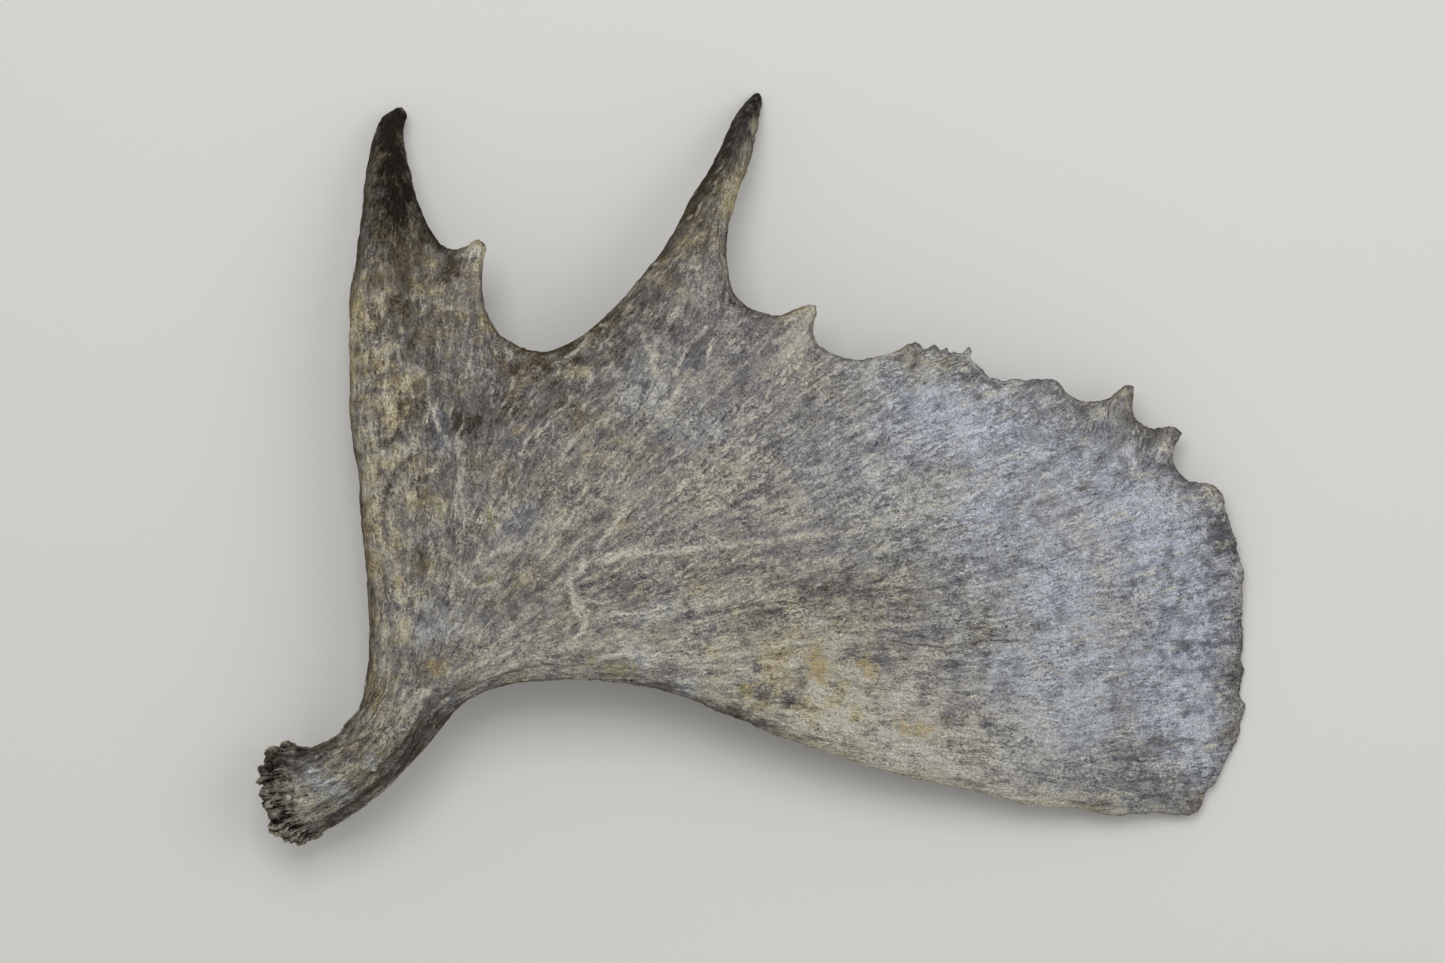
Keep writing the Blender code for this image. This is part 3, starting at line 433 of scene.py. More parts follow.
COOL = [
    (45, [(-10, 90, 0.9), (4, 45, 1.6), (20, 8, 1.5), (95, -12, 1.4)]), (22, [(-66, 84, 0.8)]),
    (32, [(124, -130, 2.0), (130, -160, 2.4), (120, -190, 1.8)]),
    (26, [(152, -212, 1.3), (194, -224, 2.0), (250, -224, 1.3)]), (18, [(82, -112, 1.0)]),
    (28, [(-85, -22, 0.7), (-45, -42, 1.1)]), (22, [(-82, -120, 1.0), (-45, -142, 1.3)]),
    (30, [(-20, -42, 1.0), (34, -50, 1.3)]), (11, [(-275, -16, 0.8)]),
    (22, [(-100, -60, 0.6), (-30, -62, 0.7), (36, -56, 0.6), (118, -42, 0.6)]),
    (9, [(-208, 162, 1.0)]), (9, [(-262, 77, 0.7)]), (24, [(-212, -30, 0.8), (-208, -75, 0.7)]),
    (12, [(-260, -24, 0.9)]), (9, [(-292, 2, 0.8)]), (14, [(-190, -147, 0.7)]),
    (13, [(-262, -178, 0.9)]),
    (34, [(270, -60, 0.6), (318, -80, 0.9), (345, -100, 0.7), (340, -190, 0.6)]),
    (12, [(38, 98, 0.9)])]
OCHRE = [
    (7, [(47, -144, 1.1), (50, -154, 1.1)]), (7, [(81, -144, 0.9), (87, -151, 1.0)]),
    (5, [(70, -163, 0.7)]), (7, [(115, -197, 1.0), (123, -195, 1.2), (131, -199, 0.9)]),
    (5, [(149, -191, 0.6), (146, -197, 0.5)]), (5, [(58, -175, 0.6)]),
    (6, [(-6, -167, 0.4), (2, -160, 0.5)]), (4, [(109, -187, 0.5)]), (9, [(20, -155, 0.4)]),
    (7, [(-237, -148, 1.0)]), (7, [(-174, 28, 0.4)]), (6, [(126, 82, 0.45)]),
    (4, [(291, -70, 0.4)]), (4, [(377, -90, 0.8)]), (5, [(-323, -271, 0.5)]),
    (5, [(-265, 64, 0.4)]), (5, [(-219, 20, 0.3)]), (6, [(-126, 70, 0.4)])]
GREEN = [
    (3, [(-197, -36, 0.9), (-193, -48, 0.8)]), (3, [(-237, -28, 0.8), (-231, -40, 0.8)]),
    (3, [(-205, -87, 0.9), (-193, -84, 0.9)]), (3, [(-177, -81, 0.8)]), (3, [(-256, -100, 0.8)]),
    (5, [(-105, -150, 0.9), (-88, -149, 0.8)]), (4, [(-122, -143, 0.8)]), (5, [(-6, -168, 0.9)]),
    (7, [(-27, 205, 0.5)]), (7, [(-249, -70, 0.35)]), (6, [(81, -209, 0.4)]),
    (16, [(-325, -242, 0.3), (-290, -222, 0.36), (-266, -196, 0.3)]), (6, [(-47, 164, 0.3)]),
    (4, [(-265, -58, 0.4)])]
RUST = [
    (9, [(-223, 151, 0.5)]), (6, [(-212, 147, 0.55), (-208, 132, 0.5)]), (8, [(-133, 20, 0.4)]),
    (3, [(-123, -120, 0.7), (-120, -111, 0.5)]), (3, [(-138, -99, 0.5)]),
    (6, [(-291, -25, 0.35), (-289, -100, 0.4), (-286, -145, 0.4)]), (5, [(-185, -2, 0.4)]),
    (5, [(47, 39, 0.35)]), (4, [(-212, -158, 0.5), (-223, -167, 0.5)]), (2, [(86, -183, 0.9)]),
    (6, [(-170, 70, 0.6), (-186, 76, 0.5)]), (5, [(-281, 143, 0.4), (-245, 140, 0.4)])]
# Spongy bone shows at the far rim and at the small points.
POROUS = [
    (12, [(352, -18, 0.7), (372, -60, 0.8), (376, -130, 0.7), (372, -195, 0.7), (350, -245, 0.7)]),
    (16, [(335, -42, 0.6), (300, 5, 0.4)]), (8, [(120, 92, 0.5), (165, 86, 0.5)])]
# Where short drying cracks lie close together.
CRAZED = [
    (24, [(155, -99, 0.8), (171, -115, 1.0), (209, -116, 0.9)]),
    (22, [(155, -69, 0.8), (186, -81, 0.6), (193, -58, 0.5)]),
    (24, [(95, -92, 0.9), (65, -92, 0.7), (28, -99, 0.5)]),
    (14, [(165, -218, 0.8), (188, -222, 0.5)]),
    (30, [(133, -47, 0.6), (95, -47, 0.5), (65, -24, 0.5), (50, 35, 0.5)]),
    (16, [(111, -129, 0.6), (88, -137, 0.5)]), (34, [(-39, 13, 0.4), (-2, -10, 0.4), (35, 5, 0.4)])]
# Where light and dark spots stand out most, and where the surface is fibrous.
SPOTTED = [
    (34, [(-275, 100, 1.1), (-270, 20, 1.3), (-265, -40, 0.9), (-262, -110, 0.5)]),
    (36, [(10, -160, 1.1), (70, -180, 1.2), (130, -195, 1.0), (190, -220, 0.8)]),
    (30, [(-150, 70, 0.8), (-110, 70, 0.7), (-50, 130, 0.5)]), (30, [(-215, 20, 0.25)]),
    (24, [(345, -50, 0.9), (350, -110, 0.8), (340, -210, 0.9)]), (22, [(296, 10, 0.6)]),
    (30, [(-140, -90, 0.4), (-190, -70, 0.4)])]
FIBROUS = [
    (13, [(-300, 150, 0.6), (-302, 60, 0.7), (-296, -25, 0.9), (-290, -90, 1.0), (-286, -150, 1.0),
          (-290, -195, 1.0)]),
    (9, [(-110, -155, 0.8), (-30, -176, 0.8), (60, -210, 0.6), (130, -232, 0.5), (230, -256, 0.5),
         (330, -262, 0.5)]),
    (16, [(-100, 108, 0.6), (-60, 160, 0.8), (-22, 225, 0.8), (2, 275, 0.6)]),
    (24, [(-272, 190, 0.7), (-276, 240, 0.8)])]


def paint(red, green, blue):
    """A colour as a display shows it, from 0 to 255, turned into the linear colour of a shader."""
    shares = (red / 255, green / 255, blue / 255)
    return tuple(s / 12.92 if s < 0.04045 else ((s + 0.055) / 1.055) ** 2.4 for s in shares)


def colour(label, note, *tone):
    """A setting that holds a colour, given as a display shows it."""
    return FloatVectorProperty(name=label, description=note, default=paint(*tone), size=3,
                               min=0.0, max=1.0, subtype="COLOR")


class AntlerForm(bpy.types.PropertyGroup):
    """Sizes of the skin and of its relief."""
    sheet_cell: FloatProperty(
        name="Sheet cell", description="Spacing of the sheets that the palms are drawn from",
        default=0.0015, min=0.001, unit="LENGTH")
    skin_cell: FloatProperty(
        name="Skin cell", description="Cell size of the skin that fuses palms, beam and burr",
        default=0.0015, min=0.001, unit="LENGTH")
    relief: FloatProperty(
        name="Relief", description="How strongly the grain, ridges and pits are raised",
        default=1.0, min=0.0, subtype="FACTOR")
    underside: FloatProperty(
        name="Underside detail", description="Share of the hidden face's triangles that is kept",
        default=0.15, min=0.05, max=1.0, subtype="FACTOR")
    upper_face: FloatProperty(
        name="Palm detail", description="Share kept of the main palm's triangles on its upper face",
        default=0.7, min=0.3, max=1.0, subtype="FACTOR")
    ring_radius: FloatProperty(
        name="Burr radius", description="From the beam's middle to the middle of the pearls",
        default=BURR_RADIUS * MM, unit="LENGTH")
    pearl_length: FloatProperty(
        name="Pearl length", description="Half length of a burr pearl, along the beam",
        default=0.0066, unit="LENGTH")
    pearl_width: FloatProperty(
        name="Pearl width", description="Half width of a burr pearl, round the ring",
        default=0.0044, unit="LENGTH")
    seed: IntProperty(
        name="Seed", description="Sets the unevenness of the pearls", default=7)


class AntlerFinish(bpy.types.PropertyGroup):
    """Colours of the weathered bone."""
    # Umber and Slate also show the painted shade that lowers the tone's level.
    umber: colour("Umber", "Darkest spots of the dry bone", 67, 62, 53)
    slate: colour("Slate", "Grey patches of the dry bone", 111, 108, 105)
    fawn: colour("Fawn", "Ground tone of the dry bone", 138, 134, 126)
    cream: colour("Cream", "Pale patches of the bone", 177, 172, 153)
    # Brown also paints shade between the burr's fins.
    brown: colour("Brown", "Soil held in the grain", 76, 65, 51)
    white: colour("White", "Raised veins, bare of soil", 195, 192, 178)
    steel: colour("Steel", "Grey patches in the sunned bone", 115, 118, 123)
    pewter: colour("Pewter", "Ground tone of the sunned bone", 149, 153, 160)
    frost: colour("Frost", "Bone bleached by the sun", 185, 191, 201)
    # Bark also paints shade on the tines, along the beam and in the burr's crevices, besides their
    # stain.
    bark: colour("Bark", "Dark stain of the rubbed tines", 19, 15, 8)
    ochre: colour("Ochre", "Yellow stains", 170, 149, 100)
    green: colour("Green", "Traces of algae", 118, 122, 62)
    rust: colour("Rust", "Red-brown stains", 104, 74, 44)


class StudioSetup(bpy.types.PropertyGroup):
    """Floor, lights and camera."""
    floor: colour("Floor", "Colour of the floor", 226, 225, 222)
    key_power: FloatProperty(
        name="Key light", description="Power of the large light over the upper left",
        default=28.0, unit="POWER")
    fill_power: FloatProperty(
        name="Fill light", description="Power of the light over the right",
        default=12.0, unit="POWER")
    sky: FloatProperty(
        name="Surroundings", description="Brightness of the pale room", default=0.45)
    camera_height: FloatProperty(
        name="Camera height", description="Height of the camera over the floor", default=3.0,
        unit="LENGTH")


# ---------------------------------------------------------------- measuring on the plan

def nearest_on_line(points, stations):
    """Each point's distance from a line of stations, the value there, and the line's heading."""
    line = np.array(stations, float)
    far = np.full(len(points), np.inf)
    value = np.zeros(len(points))
    heading = np.zeros((len(points), 2))
    for start, end in zip(line, np.vstack([line[1:], line[-1:]])):
        way = end[:2] - start[:2]
        length = max(math.hypot(*way), 1e-6)
        share = np.clip((points - start[:2]) @ way / length ** 2, 0, 1)
        gap = np.linalg.norm(points - start[:2] - share[:, None] * way, axis=1)
        closer = gap < far
        far[closer] = gap[closer]
        if line.shape[1] > 2:
            value[closer] = (start[2] + share * (end[2] - start[2]))[closer]
        if length > 1e-3:
            heading[closer] = way / length
    return far, value, heading


def curve_point(corners, share):
    """The place a given share of the way from the second corner to the third, on a smooth curve."""
    steps = [math.sqrt((b - a).length) for a, b in zip(corners, corners[1:])]
    t0, t1, t2, t3 = 0.0, steps[0], steps[0] + steps[1], sum(steps)
    t = t1 + share * (t2 - t1)
    first = corners[0].lerp(corners[1], (t - t0) / (t1 - t0))
    second = corners[1].lerp(corners[2], (t - t1) / (t2 - t1))
    third = corners[2].lerp(corners[3], (t - t2) / (t3 - t2))
    early = first.lerp(second, (t - t0) / (t2 - t0))
    late = second.lerp(third, (t - t1) / (t3 - t1))
    return early.lerp(late, (t - t1) / (t2 - t1))


def outline(cell):
    """The antler's outline from above as closely spaced points, ragged where it is chewed."""
    corners = [Vector(p) for stretch, _ in STRETCHES for p in stretch]
    rough = [amount for stretch, amount in STRETCHES for _ in stretch]
    count = len(corners)
    loop, ragged = [], []
    for i in range(count):
        four = [corners[(i + k) % count] for k in (-1, 0, 1, 2)]
        pieces = 1 + int((four[2] - four[1]).length / cell)
        loop += [curve_point(four, k / pieces) for k in range(pieces)]
        ragged += [rough[i]] * pieces
    loop = np.array(loop)
    along = np.roll(loop, -1, axis=0) - np.roll(loop, 1, axis=0)
    outward = np.column_stack([-along[:, 1], along[:, 0]])
    outward /= np.linalg.norm(outward, axis=1)[:, None]
    flat = np.column_stack([loop, np.zeros(len(loop))])
    nibble = 2 * noise(flat, 3.6, 11) - 1 + 1.2 * (2 * noise(flat, 9, 12) - 1)
    return loop + outward * (nibble * ragged)[:, None]


def inside(points, loop):
    """Which points lie inside the loop."""
    hit = np.zeros(len(points), bool)
    x, y = points.T
    for (x0, y0), (x1, y1) in zip(loop, np.roll(loop, -1, axis=0)):
        crosses = (y0 > y) != (y1 > y)
        slope = (x1 - x0) / (y1 - y0) if y1 != y0 else 0.0
        hit ^= crosses & (x < x0 + (y - y0) * slope)
    return hit


def nearest_on_loop(points, loop):
    """For each point, the closest place on the loop."""
    tree = kdtree.KDTree(len(loop))
    for i, (x, y) in enumerate(loop):
        tree.insert((x, y, 0), i)
    tree.balance()
    near = np.array([tree.find((x, y, 0))[1] for x, y in points])
    best = loop[near]
    for neighbour in (-1, 1):
        along = loop[(near + neighbour) % len(loop)] - loop[near]
        share = ((points - loop[near]) * along).sum(1) / (along ** 2).sum(1)
        foot = loop[near] + along * np.clip(share, 0, 1)[:, None]
        closer = np.linalg.norm(points - foot, axis=1) < np.linalg.norm(points - best, axis=1)
        best[closer] = foot[closer]
    return best


def middle_height(points):
    """The height of the bone's middle at each point: a thin bent plate through the anchors."""
    anchors = np.array(MIDDLE_HEIGHTS, float)
    reach = 100.0
    softness = 0.02

    def bend(a, b):
        gap = np.linalg.norm(a[:, None] - b[None], axis=2) / reach
        return gap ** 2 * np.log(gap + 1e-9)

    places, heights = anchors[:, :2], anchors[:, 2]
    count = len(anchors)
    flat = np.hstack([np.ones((count, 1)), places])
    table = np.zeros((count + 3, count + 3))
    table[:count, :count] = bend(places, places) + softness * np.eye(count)
    table[:count, count:] = flat
    table[count:, :count] = flat.T
    weights = np.linalg.solve(table, np.append(heights, (0, 0, 0)))
    return bend(points, places) @ weights[:count] + weights[count] + points @ weights[count + 1:]


def half_thickness(points):
    """Half the bone's thickness away from its rim: the plate with its ribs."""
    outward = np.linalg.norm(points - FAN_FOOT, axis=1) / FAN_REACH
    plate = PLATE_AT_FORK + (PLATE_AT_RIM - PLATE_AT_FORK) * np.clip(outward, 0, 1)
    swelling = np.zeros(len(points))
    for rib, spread in RIBS:
        gap, value, _ = nearest_on_line(points, rib)
        swelling += (np.maximum(value - plate, 0) * np.exp(-(gap / spread) ** 2)) ** 3
    return plate + np.cbrt(swelling)


def face_relief(points):
    """How far the outer face stands above its plain form, for its narrow ridges and groove."""
    relief = np.zeros(len(points))
    for ridge in FACE_RIDGES:
        gap, height, _ = nearest_on_line(points, ridge)
        relief = np.maximum(relief, height * np.exp(-(gap / FACE_RIDGE_WIDTH) ** 2))
    gap, depth, _ = nearest_on_line(points, REAR_GROOVE)
    return relief - depth * np.exp(-(gap / REAR_GROOVE_WIDTH) ** 2)


def sample(table, row, column):
    """The table's value between its cells."""
    row = np.clip(row, 0, table.shape[0] - 1.001)
    column = np.clip(column, 0, table.shape[1] - 1.001)
    r, c = row.astype(int), column.astype(int)
    u, v = row - r, column - c
    upper = table[r, c] * (1 - v) + table[r, c + 1] * v
    lower = table[r + 1, c] * (1 - v) + table[r + 1, c + 1] * v
    return upper * (1 - u) + lower * u


def crest_depth(depth, cell, most=30):
    """The depth met by walking up the slope from each cell: half the width in a narrow tine."""
    down, across = np.gradient(depth, cell)
    row, column = np.indices(depth.shape).astype(float)
    for _ in range(int(most / cell)):
        step = sample(down, row, column), sample(across, row, column)
        row += step[0]
        column += step[1]
    return sample(depth, row, column)


# ---------------------------------------------------------------- random texture

# Turns the lattice of the noise out of line with the antler's axes.
TURN = np.array(Matrix.Rotation(0.7, 3, (0.3, 0.5, 0.8)))
# The lattice's slopes point at the edges of a cube, some of them twice, to make sixteen.
SLOPES = np.array([(a, b, 0) for a in (-1, 1) for b in (-1, 1)]
                  + [(a, 0, b) for a in (-1, 1) for b in (-1, 1)]
                  + [(0, a, b) for a in (-1, 1) for b in (-1, 1)] + [(1, 1, 0), (-1, 1, 0),
                                                                     (0, -1, 1), (0, -1, -1)])
# Large numbers that scatter neighbouring cells and seeds.
SCATTER_CELLS = (374761393, 668265263, 2246822519)
SCATTER_SEED = 974711
SCATTER_START = 77
SCATTER_AGAIN = 1274126177
NOISE_SPREAD = 0.62          # brings the slopes' sum to the range from 0 to 1
SAMPLES_PER_WIDTH = 1.6      # how closely a streak is sampled along its length
# The edge of a stroke wanders in long waves, with finer fraying on them.
WAVE_SIZE = 11
FRAY_SIZE = 3.5
FRAY_SHARE = 0.5
WANDER = 0.7                 # as a share of the stroke's reach
WIDEST_REACH = 16            # no stroke wanders as if it were wider than this
LINE_WAVE_SIZE = 8


def lattice(cells, seed):
    """A fixed random slope at each place of a whole-numbered lattice."""
    x, y, z = cells.astype(np.uint32).T
    by_x, by_y, by_z = SCATTER_CELLS
    mixed = x * by_x + y * by_y + z * by_z + (seed * SCATTER_SEED + SCATTER_START)
    mixed = (mixed ^ (mixed >> 13)) * SCATTER_AGAIN
    return SLOPES[(mixed ^ (mixed >> 16)) & 15]


def noise(points, size, seed):
    """Smooth random values from 0 to 1 that change over this many millimetres."""
    spot = points @ TURN / size
    ground = np.floor(spot)
    part = spot - ground
    ease = part * part * part * (part * (part * 6 - 15) + 10)
    cells = ground.astype(np.int64)
    total = np.zeros(len(points))
    for corner in np.ndindex(2, 2, 2):
        weight = np.where(corner, ease, 1 - ease).prod(axis=1)
        total += weight * ((part - corner) * lattice(cells + corner, seed)).sum(1)
    return np.clip(0.5 + NOISE_SPREAD * total, 0, 1)


def streaks(points, grain, width, length, seed, share=None):
    """Noise drawn out along the grain, with middle 0 and spread 1, where the share isn't 0."""
    chosen = slice(None) if share is None else share > 0.01
    spots, ways = points[chosen], grain[chosen] * length
    total = np.zeros(len(spots))
    for step in np.linspace(-0.5, 0.5, math.ceil(length / width * SAMPLES_PER_WIDTH)):
        total += noise(spots + ways * step, width, seed)
    drawn = np.zeros(len(points))
    drawn[chosen] = (total - total.mean()) / total.std()
    return drawn


def plan_sway(points, size, seed):
    """Smooth shifts from -1 to 1 along X and Y, from two seeds."""
    return np.column_stack([noise(points, size, seed), noise(points, size, seed + 1)]) * 2 - 1


def stroke_mask(points, strokes, seed):
    """How strongly the listed strokes show at each point. Their edges wander."""
    sway = plan_sway(points, WAVE_SIZE, seed)
    fray = plan_sway(points, FRAY_SIZE, seed + 2)
    mask = np.zeros(len(points))
    for reach, stations in strokes:
        wander = points[:, :2] + (sway + FRAY_SHARE * fray) * min(reach, WIDEST_REACH) * WANDER
        gap, value, _ = nearest_on_line(wander, stations)
        mask = np.maximum(mask, value * np.exp(-(gap / reach) ** 2))
    return mask


def line_mask(points, lines, width, wobble, seed):
    """How strongly narrow lines show at each point."""
    sway = plan_sway(points, LINE_WAVE_SIZE, seed)
    mask = np.zeros(len(points))
    for line in lines:
        gap, value, _ = nearest_on_line(points[:, :2] + sway * wobble, line)
        mask = np.maximum(mask, value * np.exp(-(gap / width) ** 2))
    return mask


def swayed(points, size, reach, seed):
    """The points, each shifted by smooth noise up to this many millimetres."""
    shift = np.column_stack([noise(points, size, seed + i) for i in range(3)]) * 2 - 1
    return points + shift * reach


def ease_between(value, low, high):
    """0 below low, 1 above high and smooth between."""
    share = np.clip((value - low) / (high - low), 0, 1)
    return share * share * (3 - 2 * share)


# ---------------------------------------------------------------- the raw shapes

def place(points):
    """Points from the antler's layout in millimetres to the frame in metres."""
    return (np.asarray(points, float) + PLACE) * MM


def palm_plan(cell):
    """The plan of both palms on a square grid: its points, outline places and depths."""
    loop = outline(cell)
    low = loop.min(0) - 2 * cell
    columns, rows = ((loop.max(0) + 2 * cell - low) / cell).astype(int) + 1
    x, y = np.meshgrid(low[0] + cell * np.arange(columns), low[1] + cell * np.arange(rows))
    points = np.column_stack([x.ravel(), y.ravel()])
    rim = nearest_on_loop(points, loop)
    depth = np.linalg.norm(points - rim, axis=1) * np.where(inside(points, loop), 1, -1)
    return {"low": low, "cell": cell, "points": points, "rim": rim,
            "depth": depth.reshape(rows, columns)}


def palm_sheets(plan):
    """Both palms as an upper and a lower sheet that meet at the outline, as a plain mesh."""
    cell, points, rim = plan["cell"], plan["points"], plan["rim"]
    rows, columns = plan["depth"].shape
    depth = plan["depth"].ravel()
    full = half_thickness(points)
    crest = crest_depth(plan["depth"], cell).ravel()
    rounding = np.minimum(RIM_WIDTH + RIM_WIDTH_PER_THICKNESS * full,
                          np.maximum(crest, TINE_WIDTH_LEAST))
    share = np.clip(depth / rounding, RIM_BLUNTNESS, 1)
    thickness = full * np.sqrt(1 - (1 - share) ** 2)
    middle = middle_height(np.where(depth[:, None] < cell, rim, points))
    relief = face_relief(points) * share

    index = np.arange(rows * columns).reshape(rows, columns)
    quads = np.stack([index[:-1, :-1], index[:-1, 1:], index[1:, 1:], index[1:, :-1]], -1)
    quads = quads.reshape(-1, 4)
    quads = quads[(depth[quads] > -cell / 2).all(axis=1)]
    used = np.bincount(quads.ravel(), minlength=len(points))
    edge = (used > 0) & (used < 4)
    upper = np.column_stack([points, middle + thickness + relief])
    lower = np.column_stack([points, middle - thickness])
    for sheet in (upper, lower):
        sheet[edge, :2] = rim[edge]
        sheet[edge, 2] = middle[edge]
    below = np.where(edge, np.arange(len(points)), np.arange(len(points)) + len(points))
    faces = np.vstack([quads, below[quads[:, ::-1]]])
    keep, faces = np.unique(faces, return_inverse=True)
    mesh = bpy.data.meshes.new("palm_sheets")
    mesh.from_pydata(place(np.vstack([upper, lower])[keep]), [], faces.reshape(-1, 4).tolist())
    return mesh


def strand(stations):
    """A tube along a smooth line, with its own radius at each station, as a plain mesh."""
    curve = bpy.data.curves.new("strand", "CURVE")
    curve.dimensions = "3D"
    curve.bevel_depth = 1.0
    curve.bevel_resolution = 10
    curve.resolution_u = 8
    curve.use_fill_caps = True
    spline = curve.splines.new("BEZIER")
    spline.radius_interpolation = "CARDINAL"
    spline.bezier_points.add(len(stations) - 1)
    for point, (*spot, radius) in zip(spline.bezier_points, stations):
        point.co = place(spot)
        point.radius = radius * MM
        point.handle_left_type = point.handle_right_type = "AUTO"
    return finished_mesh(linked("strand", curve))


def beam_ridge(angle):
    """The stations of one ridge that starts at this angle at the burr."""
    stations = []
    last = len(BEAM_AXIS) - 1
    for i, (*centre, radius) in enumerate(BEAM_AXIS):
        way = Vector(BEAM_AXIS[min(i + 1, last)][:3]) - Vector(BEAM_AXIS[max(i - 1, 0)][:3])
        turn = math.radians(angle + RIDGE_TWIST * i / last)
        rear = way.cross(Vector((0, 0, 1))).normalized()
        top = rear.cross(way).normalized()
        spot = Vector(centre) + (rear * math.cos(turn) + top * math.sin(turn)) * (
            radius * RIDGE_SEAT)
        stations.append((*spot, radius * RIDGE_SIZE))
    return stations


def burr_frame():
    """Axes at the burr, in metres: X out of the seal, Y and Z across the ring."""
    turn = Matrix.Rotation(BURR_HEADING, 4, "Z") @ Matrix.Rotation(BURR_DIP, 4, "Y")
    return Matrix.Translation(place(BURR_CENTRE)) @ turn


def linked(name, data):
    """A new object in the scene."""
    thing = bpy.data.objects.new(name, data)
    bpy.context.scene.collection.objects.link(thing)
    return thing


def finished_mesh(thing):
    """The object's evaluated mesh as new mesh data. The object itself goes."""
    graph = bpy.context.evaluated_depsgraph_get()
    mesh = bpy.data.meshes.new_from_object(thing.evaluated_get(graph))
    bpy.data.objects.remove(thing)
    return mesh


# ---------------------------------------------------------------- pearls round the burr

def pearl_tree():
    """Sets a stretched ball on each point of the burr's ring, turned outwards."""
    tree = bpy.data.node_groups.new("Burr pearls", "GeometryNodeTree")
    sockets = {}
    for name, kind in [("Ring", "Geometry"), ("Length", "Float"), ("Width", "Float"),
                       ("Height", "Float"), ("Unevenness", "Float"), ("Seed", "Int"),
                       ("Finish", "Material")]:
        sockets[name] = tree.interface.new_socket(name, in_out="INPUT",
                                                  socket_type="NodeSocket" + kind)
    tree.interface.new_socket("Pearls", in_out="OUTPUT", socket_type="NodeSocketGeometry")
    wires = Wiring(tree)
    given = wires.node("NodeGroupInput").outputs
    turn = wires.node("GeometryNodeInputNamedAttribute", {"Name": "turn"}).outputs["Attribute"]
    size = wires.node("GeometryNodeInputNamedAttribute", {"Name": "size"}).outputs["Attribute"]
    uneven = wires.math("MULTIPLY", given["Unevenness"], 0.5)
    jitter = wires.node("FunctionNodeRandomValue", {"Seed": given["Seed"]}).outputs[1]
    size = wires.math("MULTIPLY", size, wires.math(
        "ADD", 1.0, wires.math("MULTIPLY", uneven, wires.math("SUBTRACT", jitter, 0.5))))
    ball = wires.node("GeometryNodeMeshIcoSphere", {"Radius": 1.0, "Subdivisions": 3})
    lengths = wires.node("ShaderNodeCombineXYZ", {
        "X": given["Length"], "Y": given["Width"], "Z": given["Height"]})
    scale = wires.node("ShaderNodeVectorMath", {0: lengths.outputs[0], 3: size},
                       operation="SCALE")
    facing = wires.node("ShaderNodeCombineXYZ", {"X": turn})
    spread = wires.node("GeometryNodeInstanceOnPoints", {
        "Points": given["Ring"], "Instance": ball.outputs["Mesh"],
        "Rotation": facing.outputs[0], "Scale": scale.outputs[0]})
    real = wires.node("GeometryNodeRealizeInstances", {0: spread.outputs[0]})
    finish = wires.node("GeometryNodeSetMaterial", {
        "Geometry": real.outputs[0], "Material": given["Finish"]})
    wires.node("NodeGroupOutput", {0: finish.outputs[0]})
    return tree, {name: socket.identifier for name, socket in sockets.items()}


def ring_of_pearls(axes, rows, radius, sizes, seed, tree, names, finish):
    """Pearls round a ring as a plain mesh. A row is a turn in degrees, a slide and a size."""
    spots = []
    for turn, slide, _ in rows:
        angle = math.radians(turn)
        spots.append((slide * MM, -math.sin(angle) * radius, math.cos(angle) * radius))
    ring = bpy.data.meshes.new("ring")
    ring.from_pydata(spots, [], [])
    for name, values in (("turn", [math.radians(r[0]) for r in rows]),
                         ("size", [r[2] for r in rows])):
        ring.attributes.new(name, "FLOAT", "POINT").data.foreach_set("value", values)
    thing = linked("pearls", ring)
    grow = thing.modifiers.new("grow", "NODES")
    grow.node_group = tree
    for name, value in zip(("Length", "Width", "Height"), sizes):
        grow[names[name]] = value
    grow[names["Unevenness"]] = PEARL_UNEVENNESS
    grow[names["Seed"]] = seed
    grow[names["Finish"]] = finish
    mesh = finished_mesh(thing)
    mesh.transform(axes)
    return mesh


def burr_meshes(form, finish):
    """The burr's pearls, the swollen ring under them and the domed seal."""
    tree, names = pearl_tree()
    rng = random.Random(form.seed)
    hidden = [(turn + rng.uniform(-3, 3), rng.uniform(-4, 3), rng.uniform(0.8, 1.2))
              for turn in HIDDEN_PEARLS]
    length, width = form.pearl_length, form.pearl_width
    pearls = ring_of_pearls(burr_frame(), PEARLS + hidden, form.ring_radius,
                            (length, width, width * PEARL_HEIGHT), form.seed, tree, names, finish)
    roots = [(360 * i / ROOT_KNOBS, ROOT_SLIDE, 1.0) for i in range(ROOT_KNOBS)]
    way = Vector(BEAM_AXIS[0][:3]) - Vector(BEAM_AXIS[1][:3])
    along_beam = (Matrix.Translation(place(BURR_CENTRE))
                  @ way.to_track_quat("X", "Z").to_matrix().to_4x4())
    ring = ring_of_pearls(along_beam, roots, form.ring_radius - ROOT_INSET,
                          (length * ROOT_LENGTH, width * ROOT_WIDTH, width), form.seed, tree,
                          names, finish)
    seal = bmesh.new()
    reach = form.ring_radius - SEAL_INSET
    bmesh.ops.create_icosphere(
        seal, subdivisions=5, radius=1.0,
        matrix=burr_frame() @ Matrix.Diagonal((SEAL_DOME * MM, reach, reach, 1)))
    dome = bpy.data.meshes.new("seal")
    seal.to_mesh(dome)
    seal.free()
    return [pearls, ring, dome]


# ---------------------------------------------------------------- grain, relief, stains and painted shade

def beam_distance(points):
    """Distance from the beam's axis as a share of its radius, and the axis's heading there."""
    best = np.full(len(points), np.inf)
    heading = np.zeros((len(points), 3))
    for (*start, r0), (*end, r1) in zip(BEAM_AXIS, BEAM_AXIS[1:]):
        start, way = np.array(start), np.array(end) - np.array(start)
        share = np.clip((points - start) @ way / (way @ way), 0, 1)
        gap = np.linalg.norm(points - start - share[:, None] * way, axis=1)
        ratio = gap / (r0 + share * (r1 - r0))
        closer = ratio < best
        best[closer] = ratio[closer]
        heading[closer] = way / np.linalg.norm(way)
    return best, heading


